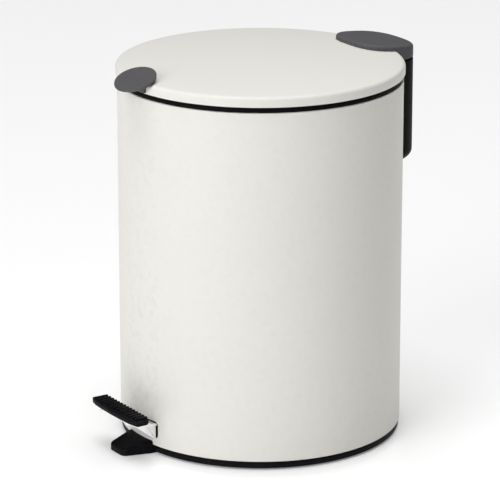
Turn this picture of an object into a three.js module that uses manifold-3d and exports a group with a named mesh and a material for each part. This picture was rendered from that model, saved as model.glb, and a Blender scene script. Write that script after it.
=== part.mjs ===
// Round steel pedal bin with an inner bucket, and a pedal, lever and push rod that lift its lid.
// Millimetres, +Z up. The pedal points to -Y and the hinge to +Y. The floor is the plane z = 0.
import * as THREE from "three";
import { mergeVertices } from "three/addons/utils/BufferGeometryUtils.js";
import Module from "manifold-3d";

const wasm = await Module();
wasm.setup();

// ---- Driving dimensions -------------------------------------------------------------------
const GAP = 0.3; // between pieces that touch
const BIG_SIDES = 60; // sides of the large round pieces
const PIN_SIDES = 12; // sides of pins, holes and screws

const BODY_R = 102.5; // outside of the steel body
const SHEET = 0.8; // steel sheet of the body and the lid
const BODY_H = 255.2; // height of the steel body
const LIP = 1.6; // inward lip at both ends of the body
const BASE_H = 6.3; // base moulding that shows below the body
const BASE_FLOOR = 2.5;
const BASE_WALL = 2.5; // wall of the base's spigot
const BASE_SPIGOT_H = 3.2; // part of the base that stands inside the body
const PAD_R = 7; // rubber foot pads let into the base
const PAD_H = 1.2;
const PAD_IN = 16.5; // middle of a pad inside the body's wall line

const BAND_H = 4.2; // height of the rim ring between body and lid
const BAND_INSET = 1.2; // how far it stands back from the body
const RIM_SPIGOT = 10;
const RIM_WALL = 2;
const BUCKET_SPACE = 16.5; // between bucket and body, for the push rod
const BUCKET_TAPER = 6;
const BUCKET_WALL = 1.6;
const BUCKET_FLANGE = 5.2;
const BUCKET_Z = 36; // underside of the bucket

const LID_OVER = 1.1; // lid radius beyond the body
const LID_SIDE = 7; // height of the lid's side
const LID_DOME = 5.5; // rise of the lid from its rim to its middle
const LID_EDGE_R = 2.8;
const LINER_WALL = 1.5;
const BUFFER_IN = 3.3; // middle of a buffer inside the rim ring's edge
const BUFFER_R = 1.2; // stem of a buffer

const CAP_W = 29.5; // half width of the hinge cap and housing
const CAP_BACK = 21; // how far they stand out behind the body
const CAP_FRONT = 27.5; // how far the cap reaches in over the lid
const CAP_MID = 2; // widest line of the cap, inside the body's wall line
const CAP_TOP = 10.8; // cap's top above the lid's lower edge, at its widest line
const CAP_FALL = 0.1; // slope of the cap's top down to the back
const CAP_WALL = 1.6;
const CAP_JOINT = 0.8; // open joint between cap and housing
const HOUSING_H = 79.5;
const HOUSING_WALL = 2;
const HOUSING_FOOT = 11; // height of the rounded foot of the housing

const HINGE_DROP = 13; // hinge axis below the lid's lower edge
const HINGE_PIN_R = 2.5;
const LIFT_IN = 4.95; // lift pin's foremost place inside the body's wall line
const LIFT_PIN_R = 1.5;
const LID_OPEN = 80; // degrees
const ARM_T = 4; // thickness of the hinge arm
const ARM_FOOT_W = 12; // half width of the arm's foot plate
const ARM_NECK = 6.2; // depth of the arm's neck where it meets the lid
const EAR_X = 9.5; // middle of each web that holds the hinge pin
const EAR_T = 3;
const BOSS_R = 5.5; // hinge boss of the arm
const SCREW_R = 1.5; // cap and tread screws and rivets
const WALL_SCREW_R = 2; // housing screws

const TAB_W = 18.5; // half width of the front tab
const TAB_L = 13.3; // half length of the front tab
const TAB_OUT = 0.4; // middle of the tab beyond the lid's edge
const TAB_Z = 9.6; // middle of the tab's top above the lid's lower edge
const TAB_SLOPE = 0.41;
const TAB_T = 2.6;

const SLOT_SIDE = 1; // clearance beside the pedal arm in its slot
const SLOT_LOW = 12.2;
const SLOT_HIGH = 24.8;
const PEDAL_T = 2; // sheet of pedal arm and lever
const PEDAL_W = 19.5; // half width of the pedal arm
const PIVOT_Y = 45.2; // pedal pivot in front of the axis
const PIVOT_Z = 12.4;
const PIVOT_R = 2.5;
const LEVER_W = 15; // half width of the lever
const TREAD_W = 32; // half width of the tread
const TREAD_D = 14.5; // depth of the tread, front to back
const TREAD_T = 5.2;
const TREAD_REACH = 24.8; // front of the tread beyond the body
const TREAD_TOP = 34.4;
const RIBS = 14; // ribs on the tread
const RIB_PITCH = 4.2;
const RIB_W = 2.2;
const RIB_H = 1.4;
const BUMP_REACH = 21; // foot bump beyond the body

const ROD_W = 5; // half width of the push rod
const ROD_T = 2.5;
const ROD_CLEAR = 1.15; // between rod and lift pin
const GUIDE_H = 8; // height of a rod guide
const GUIDE_LOW = 62;
const BAIL_R = 1.3; // wire of the bucket's bail

// ---- Derived levels and radii ---------------------------------------------------------------
const BODY_IN = BODY_R - SHEET;
const LIP_R = BODY_R - LIP;
const BODY_Z0 = BASE_H;
const BODY_Z1 = BASE_H + BODY_H;
const LID_Z = BODY_Z1 + BAND_H;
const LID_R = BODY_R + LID_OVER;
const RIM_Z = LID_Z + LID_SIDE;
const RING_TOP = LID_Z - GAP;
const RING_R = BODY_R - BAND_INSET;
const SPIGOT_R = LIP_R - GAP;
const SLOT_W = PEDAL_W + SLOT_SIDE; // half width of the pedal slot
const PAD_RING_R = BODY_R - PAD_IN;
const BUFFER_RING_R = RING_R - BUFFER_IN;
const BUCKET_R = BODY_R - BUCKET_SPACE; // outside of the bucket below its flange
const BUCKET_RIM_R = BUCKET_R + BUCKET_FLANGE;
const BUCKET_RIM_Z = RING_TOP - 0.9;
const BAIL_Z = BUCKET_RIM_Z - 8;
const BAIL_BOW = BUCKET_R - BUCKET_WALL - 4.4; // radius of the bail's bow
const TAB_Y = LID_R + TAB_OUT; // middle of the tab from the axis
const HINGE_Y = (LID_R + BODY_R + CAP_BACK) / 2;
const HINGE_Z = LID_Z - HINGE_DROP;
const HALF_OPEN = THREE.MathUtils.degToRad(LID_OPEN / 2);
const LIFT_ARM = HINGE_Y - BODY_R + LIFT_IN; // hinge axis to lift pin
const LIFT_Y = HINGE_Y - LIFT_ARM * Math.cos(HALF_OPEN);
const LIFT_Z = HINGE_Z - LIFT_ARM * Math.sin(HALF_OPEN);
const ROD_Y = HINGE_Y - LIFT_ARM - LIFT_PIN_R - ROD_CLEAR - ROD_T; // front face of the push rod
const HEAD_BACK = LIFT_Y - 0.1; // rear of the push rod's head
const SHOE_Y = ROD_Y + 4.1; // where the shoe rests on the lever
const SHOE_BACK = ROD_Y + 7.4;
const NOTCH_W = ROD_W + 0.9; // half width of the rear notch in body and rim ring
const NOTCH_Z = LIFT_Z - 4.5;
const TAIL_W = 7; // half width of the lever at its rear end
const LEVER_END = SPIGOT_R - BASE_WALL - 1;
const HOUSING_TOP = LID_Z - CAP_JOINT;
const HOUSING_Z0 = HOUSING_TOP - HOUSING_H;
const FOOT_PLATE_Z = LID_Z + 3.3; // underside of the hinge arm's foot plate
const SCREW_X = 9; // cap screws
const ARM_BACK = LID_R - SHEET - 1.05; // rear face of the hinge arm's neck
const ARM_FRONT = ARM_BACK - ARM_NECK;
const SCREW_Y = ARM_BACK - 3.55;
const WALL_SCREW_X = 16; // housing screws
const WALL_SCREW_Z = HOUSING_Z0 + 34;
const ARM_UNDER = SLOT_HIGH - 3; // underside of the pedal arm at the body's wall
const ARM_BEND = -BODY_R + 2.5; // where the pedal arm turns level with the lever
const ARM_END = -BODY_R + 38.5;
const ARM_SHOULDER = -BODY_R + 10.5;
const ARM_TAIL_W = 12; // half width of the pedal arm on the lever
const TREAD_BASE = TREAD_TOP - TREAD_T;
const TREAD_FRONT = -BODY_R - TREAD_REACH;
const TREAD_BACK = TREAD_FRONT + TREAD_D;
const LEVER_FRONT = -BODY_R + 8;
const LEVER_REAR_Z = BASE_H - GAP + BASE_SPIGOT_H + 0.1; // lever's top under the shoe
const LEVER_FALL = (ARM_UNDER - GAP - LEVER_REAR_Z) / (SHOE_Y - ARM_BEND);
const RIVETS = [
  [-8, LEVER_FRONT + 6.5],
  [8, LEVER_FRONT + 6.5],
  [0, LEVER_FRONT + 22.5],
];
const TREAD_SCREWS = [-12, 12].map((x) => [x, TREAD_FRONT + TREAD_D / 2]);

/** Height of the lever's top face at a distance y behind the axis. */
const leverTop = (y) => ARM_UNDER - GAP - LEVER_FALL * (y - ARM_BEND);

// ---- Solids -----------------------------------------------------------------------------------
/** A closed geometry as a solid for cutting and joining. */
function solidOf(geometry) {
  const bare = geometry.clone();
  bare.deleteAttribute("normal");
  bare.deleteAttribute("uv");
  const merged = mergeVertices(bare, 1e-4);
  return new wasm.Manifold(
    new wasm.Mesh({
      numProp: 3,
      vertProperties: merged.attributes.position.array,
      triVerts: new Uint32Array(merged.index.array),
    }),
  );
}

/** A solid as a geometry with flat faces. */
function geometryOf(solid) {
  const mesh = solid.getMesh();
  const geometry = new THREE.BufferGeometry();
  geometry.setAttribute("position", new THREE.BufferAttribute(mesh.vertProperties, 3));
  geometry.setIndex(new THREE.BufferAttribute(mesh.triVerts, 1));
  const flat = geometry.toNonIndexed();
  flat.computeVertexNormals();
  return flat;
}

/** Turns a closed [radius, z] outline, counter-clockwise, about the Z axis. */
function revolve(outline, sides = BIG_SIDES) {
  const onAxis = outline[0][0] === 0;
  const ring = onAxis ? outline : [...outline, outline[0]];
  const points = ring.map(([r, z]) => new THREE.Vector2(r, z));
  return solidOf(new THREE.LatheGeometry(points, sides).rotateX(Math.PI / 2));
}

/** A shape from corner points. */
const shapeOf = (points) => new THREE.Shape(points.map(([x, y]) => new THREE.Vector2(x, y)));

/** Extrudes a shape in X and Y from z0 to z1. */
function upright(shape, z0, z1, curveSegments = 8) {
  const options = { depth: z1 - z0, bevelEnabled: false, curveSegments };
  return solidOf(new THREE.ExtrudeGeometry(shape, options).translate(0, 0, z0));
}

/** Extrudes a shape in Y and Z from x0 to x1. */
function crosswise(shape, x0, x1, curveSegments = 8) {
  const options = { depth: x1 - x0, bevelEnabled: false, curveSegments };
  const turn = new THREE.Matrix4().makeBasis(
    new THREE.Vector3(0, 1, 0),
    new THREE.Vector3(0, 0, 1),
    new THREE.Vector3(1, 0, 0),
  );
  return solidOf(new THREE.ExtrudeGeometry(shape, options).applyMatrix4(turn).translate(x0, 0, 0));
}

/** Extrudes a shape in X and Z from y0 to y1. */
function lengthwise(shape, y0, y1, curveSegments = 8) {
  const options = { depth: y1 - y0, bevelEnabled: false, curveSegments };
  const turn = new THREE.Matrix4().makeBasis(
    new THREE.Vector3(1, 0, 0),
    new THREE.Vector3(0, 0, 1),
    new THREE.Vector3(0, -1, 0),
  );
  return solidOf(new THREE.ExtrudeGeometry(shape, options).applyMatrix4(turn).translate(0, y1, 0));
}

/** A box between two corners. */
function block([x0, y0, z0], [x1, y1, z1]) {
  const geometry = new THREE.BoxGeometry(x1 - x0, y1 - y0, z1 - z0);
  return solidOf(geometry.translate((x0 + x1) / 2, (y0 + y1) / 2, (z0 + z1) / 2));
}

/** A round bar of radius r along "x", "y" or "z", from its start point over a length. */
function bar(axis, r, [x, y, z], length, sides = PIN_SIDES) {
  const geometry = new THREE.CylinderGeometry(r, r, length, sides).translate(0, length / 2, 0);
  if (axis === "x") geometry.rotateZ(-Math.PI / 2);
  if (axis === "z") geometry.rotateX(Math.PI / 2);
  return solidOf(geometry.translate(x, y, z));
}

/** A closed solid through level rings of points, each ring counter-clockwise from above. */
function loft(rings) {
  const count = rings[0].length;
  const index = [];
  for (let level = 0; level < rings.length - 1; level += 1) {
    for (let i = 0; i < count; i += 1) {
      const a = level * count + i;
      const b = level * count + ((i + 1) % count);
      index.push(a, b, b + count, a, b + count, a + count);
    }
  }
  const last = (rings.length - 1) * count;
  const flat = rings[0].map((p) => new THREE.Vector2(p.x, p.y));
  for (const [a, b, c] of THREE.ShapeUtils.triangulateShape(flat, [])) {
    index.push(c, b, a, last + a, last + b, last + c);
  }
  const geometry = new THREE.BufferGeometry().setFromPoints(rings.flat());
  geometry.setIndex(index);
  return solidOf(geometry);
}

/** A point of a superellipse with half width w, and lengths and powers for its two ends. */
function oval(angle, w, front, back, frontPower, backPower) {
  const [c, s] = [Math.cos(angle), Math.sin(angle)];
  const [reach, power] = s > 0 ? [back, backPower] : [front, frontPower];
  const x = w * Math.sign(c) * Math.abs(c) ** (2 / power);
  const y = reach * Math.sign(s) * Math.abs(s) ** (2 / power);
  return [x, y];
}

/** Ring of points of the cap's outline, drawn in by inset, at the heights that level gives. */
function capRing(inset, level, count = 36) {
  const mid = BODY_R - CAP_MID;
  return Array.from({ length: count }, (_, i) => {
    const front = CAP_FRONT - CAP_MID - inset;
    const back = CAP_BACK + CAP_MID - inset;
    const [x, y] = oval((2 * Math.PI * i) / count, CAP_W - inset, front, back, 2.7, 2.5);
    return new THREE.Vector3(x, mid + y, level(mid + y));
  });
}

/** Joins solids into one. */
const join = (...solids) => solids.reduce((all, next) => all.add(next));

/** Cuts the later solids from the first. */
const cut = (first, ...tools) => tools.reduce((all, next) => all.subtract(next), first);

// ---- Body, base, rim and bucket ------------------------------------------------------------
function bodyShell() {
  const tube = revolve([
    [LIP_R, BODY_Z0],
    [BODY_R, BODY_Z0],
    [BODY_R, BODY_Z1],
    [LIP_R, BODY_Z1],
    [LIP_R, BODY_Z1 - SHEET],
    [BODY_IN, BODY_Z1 - SHEET],
    [BODY_IN, BODY_Z0 + SHEET],
    [LIP_R, BODY_Z0 + SHEET],
  ]);
  const slot = new THREE.Shape();
  const corner = 3;
  slot.moveTo(-SLOT_W, SLOT_LOW + corner);
  slot.quadraticCurveTo(-SLOT_W, SLOT_LOW, -SLOT_W + corner, SLOT_LOW);
  slot.lineTo(SLOT_W - corner, SLOT_LOW);
  slot.quadraticCurveTo(SLOT_W, SLOT_LOW, SLOT_W, SLOT_LOW + corner);
  slot.lineTo(SLOT_W, SLOT_HIGH - corner);
  slot.quadraticCurveTo(SLOT_W, SLOT_HIGH, SLOT_W - corner, SLOT_HIGH);
  slot.lineTo(-SLOT_W + corner, SLOT_HIGH);
  slot.quadraticCurveTo(-SLOT_W, SLOT_HIGH, -SLOT_W, SLOT_HIGH - corner);
  const notchLow = [-NOTCH_W, BODY_R - 10, NOTCH_Z];
  const holes = [-WALL_SCREW_X, WALL_SCREW_X].map((x) =>
    bar("y", WALL_SCREW_R + GAP, [x, BODY_R - 10, WALL_SCREW_Z], 15),
  );
  return cut(
    tube,
    lengthwise(slot, -BODY_R - 5, -BODY_R + 15, 4),
    block(notchLow, [NOTCH_W, BODY_R + 5, BODY_Z1 + 5]),
    ...holes,
  );
}

/** Sloping bump in front of the base, under the pedal. */
function footBump() {
  const wall = BODY_R - 6;
  const front = BODY_R + BUMP_REACH;
  const plan = new THREE.Shape();
  plan.moveTo(15.6, -wall);
  plan.lineTo(-15.6, -wall);
  plan.lineTo(-15, -BODY_R);
  plan.lineTo(-10, -front + 5);
  plan.quadraticCurveTo(-8.8, -front + 0.6, -4, -front);
  plan.lineTo(4, -front);
  plan.quadraticCurveTo(8.8, -front + 0.6, 10, -front + 5);
  plan.lineTo(15, -BODY_R);
  const [frontHigh, wallHigh] = [5, 9.4];
  const over = shapeOf([
    [-front - 1, frontHigh],
    [-BODY_R, wallHigh],
    [-wall + 1, wallHigh],
    [-wall + 1, 40],
    [-front - 1, 40],
  ]);
  const body = bar("z", BODY_R + GAP, [0, 0, BASE_H - GAP], 60, BIG_SIDES);
  return cut(upright(plan, 0, 20, 4), crosswise(over, -30, 30), body);
}

function padPlaces() {
  return [45, 135, 225, 315].map((degrees) => {
    const angle = THREE.MathUtils.degToRad(degrees);
    return [PAD_RING_R * Math.cos(angle), PAD_RING_R * Math.sin(angle)];
  });
}

function baseMoulding() {
  const outer = BODY_R - SHEET;
  const top = BASE_H - GAP;
  const dish = revolve([
    [0, 0],
    [outer, 0],
    [outer, top],
    [SPIGOT_R, top],
    [SPIGOT_R, top + BASE_SPIGOT_H],
    [SPIGOT_R - BASE_WALL, top + BASE_SPIGOT_H],
    [SPIGOT_R - BASE_WALL, BASE_FLOOR],
    [0, BASE_FLOOR],
  ]);
  const posts = [-1, 1].map((side) => {
    const inner = side * (LEVER_W + 1.3);
    const outerX = side * (LEVER_W + 5.3);
    const [x0, x1] = [Math.min(inner, outerX), Math.max(inner, outerX)];
    const profile = shapeOf([
      [-PIVOT_Y - 9, BASE_FLOOR - 1],
      [-PIVOT_Y + 9, BASE_FLOOR - 1],
      [-PIVOT_Y + 5.5, PIVOT_Z + 5.5],
      [-PIVOT_Y - 5.5, PIVOT_Z + 5.5],
    ]);
    return crosswise(profile, x0, x1);
  });
  const pinHole = bar("x", PIVOT_R + GAP, [-30, -PIVOT_Y, PIVOT_Z], 60);
  const pockets = padPlaces().map(([x, y]) => bar("z", PAD_R + GAP, [x, y, -1], 1 + PAD_H + GAP, 16));
  return cut(join(dish, footBump(), ...posts), pinHole, ...pockets);
}

const footPad = ([x, y]) => bar("z", PAD_R, [x, y, 0], PAD_H, 16);

function rimRing() {
  const shelf = BUCKET_RIM_Z - RIM_WALL - GAP;
  const inner = BUCKET_R + 1;
  const recess = BUCKET_RIM_R + 0.5;
  const ring = revolve([
    [inner, shelf - RIM_WALL],
    [SPIGOT_R - RIM_WALL, shelf - RIM_WALL],
    [SPIGOT_R - RIM_WALL, BODY_Z1 - RIM_SPIGOT],
    [SPIGOT_R, BODY_Z1 - RIM_SPIGOT],
    [SPIGOT_R, BODY_Z1 + GAP],
    [RING_R, BODY_Z1 + GAP],
    [RING_R, RING_TOP],
    [recess, RING_TOP],
    [recess, shelf],
    [inner, shelf],
  ]);
  const slotLow = [-NOTCH_W, Math.min(ROD_Y, recess) - 0.5, BODY_Z1 - 30];
  return cut(ring, block(slotLow, [NOTCH_W, BODY_R + 5, LID_Z + 5]));
}

function innerBucket() {
  const foot = BUCKET_R - BUCKET_TAPER;
  const flange = BUCKET_RIM_Z - RIM_WALL;
  const pot = revolve([
    [0, BUCKET_Z],
    [foot - 1.5, BUCKET_Z],
    [foot, BUCKET_Z + 1.5],
    [BUCKET_R, flange],
    [BUCKET_RIM_R, flange],
    [BUCKET_RIM_R, BUCKET_RIM_Z],
    [BUCKET_R - BUCKET_WALL, BUCKET_RIM_Z],
    [foot - BUCKET_WALL, BUCKET_Z + BUCKET_WALL + 1.5],
    [foot - BUCKET_WALL - 1.5, BUCKET_Z + BUCKET_WALL],
    [0, BUCKET_Z + BUCKET_WALL],
  ]);
  const reach = BUCKET_RIM_R + 5;
  return cut(pot, bar("x", BAIL_R + GAP, [-reach, 0, BAIL_Z], 2 * reach));
}

/** Point of the bail's bow at an angle from +X. */
const bowPoint = (angle) =>
  new THREE.Vector3(BAIL_BOW * Math.cos(angle), BAIL_BOW * Math.sin(angle), BAIL_Z);

/** Round section swept along points, with sides faces round it. */
function sweep(section, points, steps, curveSegments) {
  const extrudePath = new THREE.CatmullRomCurve3(points, false, "centripetal");
  const options = { steps, bevelEnabled: false, extrudePath, curveSegments };
  return solidOf(new THREE.ExtrudeGeometry(section, options));
}

/** Wire handle that lies inside the bucket's mouth, with its ends in holes in the wall. */
function bucketBail() {
  const end = BUCKET_R + 1.6;
  const [bend, rise, lead, step] = [2.2, 2.5, 10.4, 6.3];
  const start = lead / BAIL_BOW;
  const steps = Math.round((Math.PI * BAIL_BOW) / step);
  const ends = [
    [end, 0],
    [BAIL_BOW + bend, 0],
    [BAIL_BOW + 0.4, rise],
  ];
  const right = ends.map(([x, y]) => new THREE.Vector3(x, y, BAIL_Z));
  const left = ends.map(([x, y]) => new THREE.Vector3(-x, y, BAIL_Z)).reverse();
  const bow = Array.from({ length: 13 }, (_, i) =>
    bowPoint(start + ((Math.PI - 2 * start) * i) / 12),
  );
  const section = new THREE.Shape().absarc(0, 0, BAIL_R, 0, 2 * Math.PI);
  return sweep(section, [...right, ...bow, ...left], steps, 4);
}

/** Plastic grip on the middle of the bail, split so that it clips round the wire. */
function bailGrip() {
  const [reach, inner, outer] = [0.22, BAIL_R + GAP, 3.1];
  const section = new THREE.Shape().absarc(0, 0, outer, 0, 2 * Math.PI);
  section.holes.push(new THREE.Path().absarc(0, 0, inner, 0, 2 * Math.PI, true));
  const points = [-1, -0.5, 0, 0.5, 1].map((share) => bowPoint(Math.PI / 2 - reach * share));
  return sweep(section, points, 8, 5);
}

// ---- Hinge housing and lid --------------------------------------------------------------------
function hingeHousing() {
  const step = (z) => () => z;
  const rounded = [0, 0.25, 0.5, 0.75, 1].map((t) => {
    const angle = (t * Math.PI) / 2;
    const inset = (1 - Math.sin(angle)) * (CAP_BACK - 1);
    return capRing(inset, step(HOUSING_Z0 + HOUSING_FOOT * (1 - Math.cos(angle))));
  });
  const outer = loft([
    ...rounded,
    capRing(0, step(HOUSING_TOP - 1.5)),
    capRing(1.5, step(HOUSING_TOP)),
  ]);
  const cavity = loft([
    capRing(HOUSING_WALL, step(HOUSING_Z0 + HOUSING_FOOT + 2)),
    capRing(HOUSING_WALL, step(HOUSING_TOP + 5)),
  ]);
  const shell = cut(outer, cavity);
  const innerBack = BODY_R + CAP_BACK - HOUSING_WALL / 2;
  const ears = [-1, 1].map((side) => {
    const x = side * EAR_X;
    const web = shapeOf([
      [HINGE_Y - BOSS_R, HINGE_Z - 14],
      [innerBack, HINGE_Z - 24],
      [innerBack, HINGE_Z + 4],
      [HINGE_Y + 4, HINGE_Z + BOSS_R],
      [HINGE_Y - 4, HINGE_Z + BOSS_R],
      [HINGE_Y - BOSS_R, HINGE_Z + 4],
    ]);
    return crosswise(web, x - EAR_T / 2, x + EAR_T / 2);
  });
  const backAt = (x) => BODY_R - CAP_MID + (CAP_BACK + CAP_MID) * (1 - (Math.abs(x) / CAP_W) ** 2.5) ** 0.4;
  const bosses = [-WALL_SCREW_X, WALL_SCREW_X].map((x) => {
    const start = BODY_R - 2;
    return bar("y", 4.5, [x, start, WALL_SCREW_Z], backAt(x) - 1 - start).intersect(outer);
  });
  const shaft = bar("x", HINGE_PIN_R + GAP, [-20, HINGE_Y, HINGE_Z], 40);
  const threads = [-WALL_SCREW_X, WALL_SCREW_X].map((x) =>
    bar("y", WALL_SCREW_R + GAP, [x, BODY_R - 10, WALL_SCREW_Z], 20),
  );
  const body = bar("z", BODY_R + GAP, [0, 0, HOUSING_Z0 - 20], HOUSING_H + 60, BIG_SIDES);
  return cut(join(shell, ...ears, ...bosses), body, shaft, ...threads);
}

function housingScrew(x) {
  const wall = Math.sqrt(BODY_IN ** 2 - x ** 2) - GAP;
  const head = bar("y", 3.6, [x, wall - 2.6, WALL_SCREW_Z], 2.2);
  const recess = bar("y", 1.2, [x, wall - 3, WALL_SCREW_Z], 1.6, 6);
  return cut(join(head, bar("y", WALL_SCREW_R, [x, wall - 1, WALL_SCREW_Z], 11)), recess);
}

const hingePin = () => bar("x", HINGE_PIN_R, [-13, HINGE_Y, HINGE_Z], 26, 20);

/** Lid outline of the outer face, drawn in by inset, from the lower edge to the middle. */
function lidOutline(inset) {
  const r = LID_R - inset;
  const edge = LID_EDGE_R - inset;
  const turn = RIM_Z - LID_EDGE_R;
  const points = [[r, LID_Z]];
  for (const degrees of [0, 45]) {
    const angle = THREE.MathUtils.degToRad(degrees);
    points.push([LID_R - LID_EDGE_R + edge * Math.cos(angle), turn + edge * Math.sin(angle)]);
  }
  for (const share of [0.975, 0.75, 0.45, 0]) {
    points.push([LID_R * share, RIM_Z - inset + LID_DOME * (1 - share * share)]);
  }
  return points;
}

function lidShell() {
  const shell = revolve([...lidOutline(SHEET), ...lidOutline(0).reverse()].reverse());
  const holes = [-SCREW_X, SCREW_X].map((x) => bar("z", SCREW_R + GAP, [x, SCREW_Y, LID_Z], 20));
  return cut(shell, ...holes);
}

/** Everything that the lid's outer face takes up, grown by a gap. */
function lidEnvelope(gap) {
  const outline = lidOutline(0).map(([r, z]) => [r === 0 ? 0 : r + gap, z + gap]);
  return revolve([[0, LID_Z - gap], [LID_R + gap, LID_Z - gap], ...outline.slice(1)]);
}

function lidLiner() {
  const low = LID_Z + 1.3;
  const r = LID_R - SHEET - 0.5;
  const roof = RIM_Z - SHEET - GAP - 0.3;
  const plate = revolve([
    [0, roof - LINER_WALL],
    [BUCKET_RIM_R - 0.2, roof - LINER_WALL],
    [BUCKET_RIM_R + 1.3, low],
    [r, low],
    [r, low + LINER_WALL],
    [BUCKET_RIM_R + 2.7, low + LINER_WALL],
    [BUCKET_RIM_R + 0.9, roof],
    [0, roof],
  ]);
  const half = ARM_FOOT_W + 2.5;
  const opening = block([-half, ARM_FRONT - 2.15, LID_Z - 5], [half, BODY_R + 5, LID_Z + 10]);
  const holes = bufferPlaces().map(([x, y]) => bar("z", BUFFER_R + GAP, [x, y, LID_Z - 5], 20));
  return cut(plate, opening, ...holes);
}

function bufferPlaces() {
  return [-150, -30, 50, 130].map((degrees) => {
    const angle = THREE.MathUtils.degToRad(degrees);
    return [BUFFER_RING_R * Math.cos(angle), BUFFER_RING_R * Math.sin(angle)];
  });
}

/** Rubber button under the lid's rim, pushed into a hole in the liner. */
function lidBuffer([x, y]) {
  const low = LID_Z + 0.1;
  const head = bar("z", 2.6, [x, y, low], 0.9);
  return join(head, bar("z", BUFFER_R, [x, y, low + 0.5], 3.2));
}

function frontTab() {
  const edge = 16;
  const top = (y) => LID_Z + TAB_Z + TAB_SLOPE * (y + TAB_Y);
  const ring = (inset, down) =>
    Array.from({ length: edge * 2 }, (_, i) => {
      const [x, y] = oval((Math.PI * i) / edge, TAB_W - inset, TAB_L - inset, TAB_L - inset, 2, 2);
      return new THREE.Vector3(x, y - TAB_Y, top(y - TAB_Y) - down);
    });
  const plate = loft([ring(1.2, TAB_T), ring(0, TAB_T - 1), ring(0, 0.9), ring(1.1, 0)]);
  const boss = crosswise(
    shapeOf([
      [-LID_R - 2.4, LID_Z + 0.8],
      [-LID_R + 8, LID_Z + 0.8],
      [-LID_R + 8, top(-LID_R + 8) - 1.2],
      [-LID_R - 2.4, top(-LID_R - 2.4) - 1.2],
    ]),
    -12.5,
    12.5,
  );
  const round = bar("z", LID_R + 2.2, [0, 0, LID_Z], 40, BIG_SIDES);
  return cut(join(plate, boss.intersect(round)), lidEnvelope(GAP));
}

function hingeCap() {
  const mid = BODY_R - CAP_MID;
  const top = (down) => (y) => LID_Z + CAP_TOP - CAP_FALL * (y - mid) - down;
  const low = () => LID_Z;
  const outer = loft([
    capRing(0, low),
    capRing(0, top(2)),
    capRing(0.6, top(0.7)),
    capRing(2.2, top(0)),
  ]);
  const hollow = loft([
    capRing(CAP_WALL, () => LID_Z - 5),
    capRing(CAP_WALL, top(CAP_WALL + 1.6)),
    capRing(CAP_WALL + 1.5, top(CAP_WALL)),
  ]);
  const posts = [-SCREW_X, SCREW_X].map((x) => bar("z", 3.4, [x, SCREW_Y, LID_Z], CAP_TOP - 1));
  const threads = [-SCREW_X, SCREW_X].map((x) => bar("z", SCREW_R + GAP, [x, SCREW_Y, LID_Z], 8.6));
  return cut(join(cut(outer, hollow), ...posts), ...threads, lidEnvelope(GAP));
}

/** Screw from under the hinge arm's foot plate through the lid into the cap. */
function capScrew(x) {
  const head = bar("z", 2.9, [x, SCREW_Y, FOOT_PLATE_Z - GAP - 1.6], 1.6);
  const shank = bar("z", SCREW_R, [x, SCREW_Y, FOOT_PLATE_Z - 1], 6);
  const recess = bar("z", 1.1, [x, SCREW_Y, FOOT_PLATE_Z - 3], 2, 6);
  return cut(join(head, shank), recess);
}

/** Cranked steel arm: hinge boss, lobe with the lift pin, and a foot plate under the lid. */
function hingeArm() {
  const lobe = 3.6;
  const plate = shapeOf([
    [HINGE_Y + 2, HINGE_Z - 5],
    [HINGE_Y + 2, HINGE_Z + 5],
    [HINGE_Y - 9.5, HINGE_Z + 5],
    [ARM_BACK, HINGE_Z + 7.5],
    [ARM_BACK, FOOT_PLATE_Z + 1],
    [ARM_FRONT, FOOT_PLATE_Z + 1],
    [ARM_FRONT, HINGE_Z],
    [LIFT_Y - lobe, LIFT_Z],
    [LIFT_Y + 1.5, LIFT_Z - lobe + 0.4],
  ]);
  const half = ARM_T / 2;
  const web = crosswise(plate, -half, half);
  const knob = bar("x", lobe, [-half, LIFT_Y, LIFT_Z], ARM_T, 20);
  const boss = bar("x", BOSS_R, [-half - 1.5, HINGE_Y, HINGE_Z], ARM_T + 3, 20);
  const footHigh = [ARM_FOOT_W, ARM_BACK - 1, FOOT_PLATE_Z + 2];
  const foot = block([-ARM_FOOT_W, ARM_FRONT, FOOT_PLATE_Z], footHigh);
  const holes = [-SCREW_X, SCREW_X].map((x) => bar("z", SCREW_R + GAP, [x, SCREW_Y, LID_Z - 5], 20));
  const bushHole = bar("x", HINGE_PIN_R + 1.3 + 2 * GAP, [-10, HINGE_Y, HINGE_Z], 20, 20);
  const pinHole = bar("x", LIFT_PIN_R + GAP, [-10, LIFT_Y, LIFT_Z], 20);
  return cut(join(web, knob, boss, foot), bushHole, pinHole, ...holes);
}

function hingeBush() {
  const half = ARM_T / 2 + 1.8;
  const sleeve = bar("x", HINGE_PIN_R + 1.3 + GAP, [-half, HINGE_Y, HINGE_Z], 2 * half, 20);
  return cut(sleeve, bar("x", HINGE_PIN_R + GAP, [-10, HINGE_Y, HINGE_Z], 20, 20));
}

const liftPin = () => bar("x", LIFT_PIN_R, [-ROD_W - 0.3, LIFT_Y, LIFT_Z], 2 * ROD_W + 0.6);

// ---- Pedal linkage ---------------------------------------------------------------------------
/** Sheet in Y and Z between two lines of points, PEDAL_T thick. */
function sheetShape(points) {
  const over = points.map(([y, z]) => [y, z + PEDAL_T]).reverse();
  return shapeOf([...points, ...over]);
}

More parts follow.
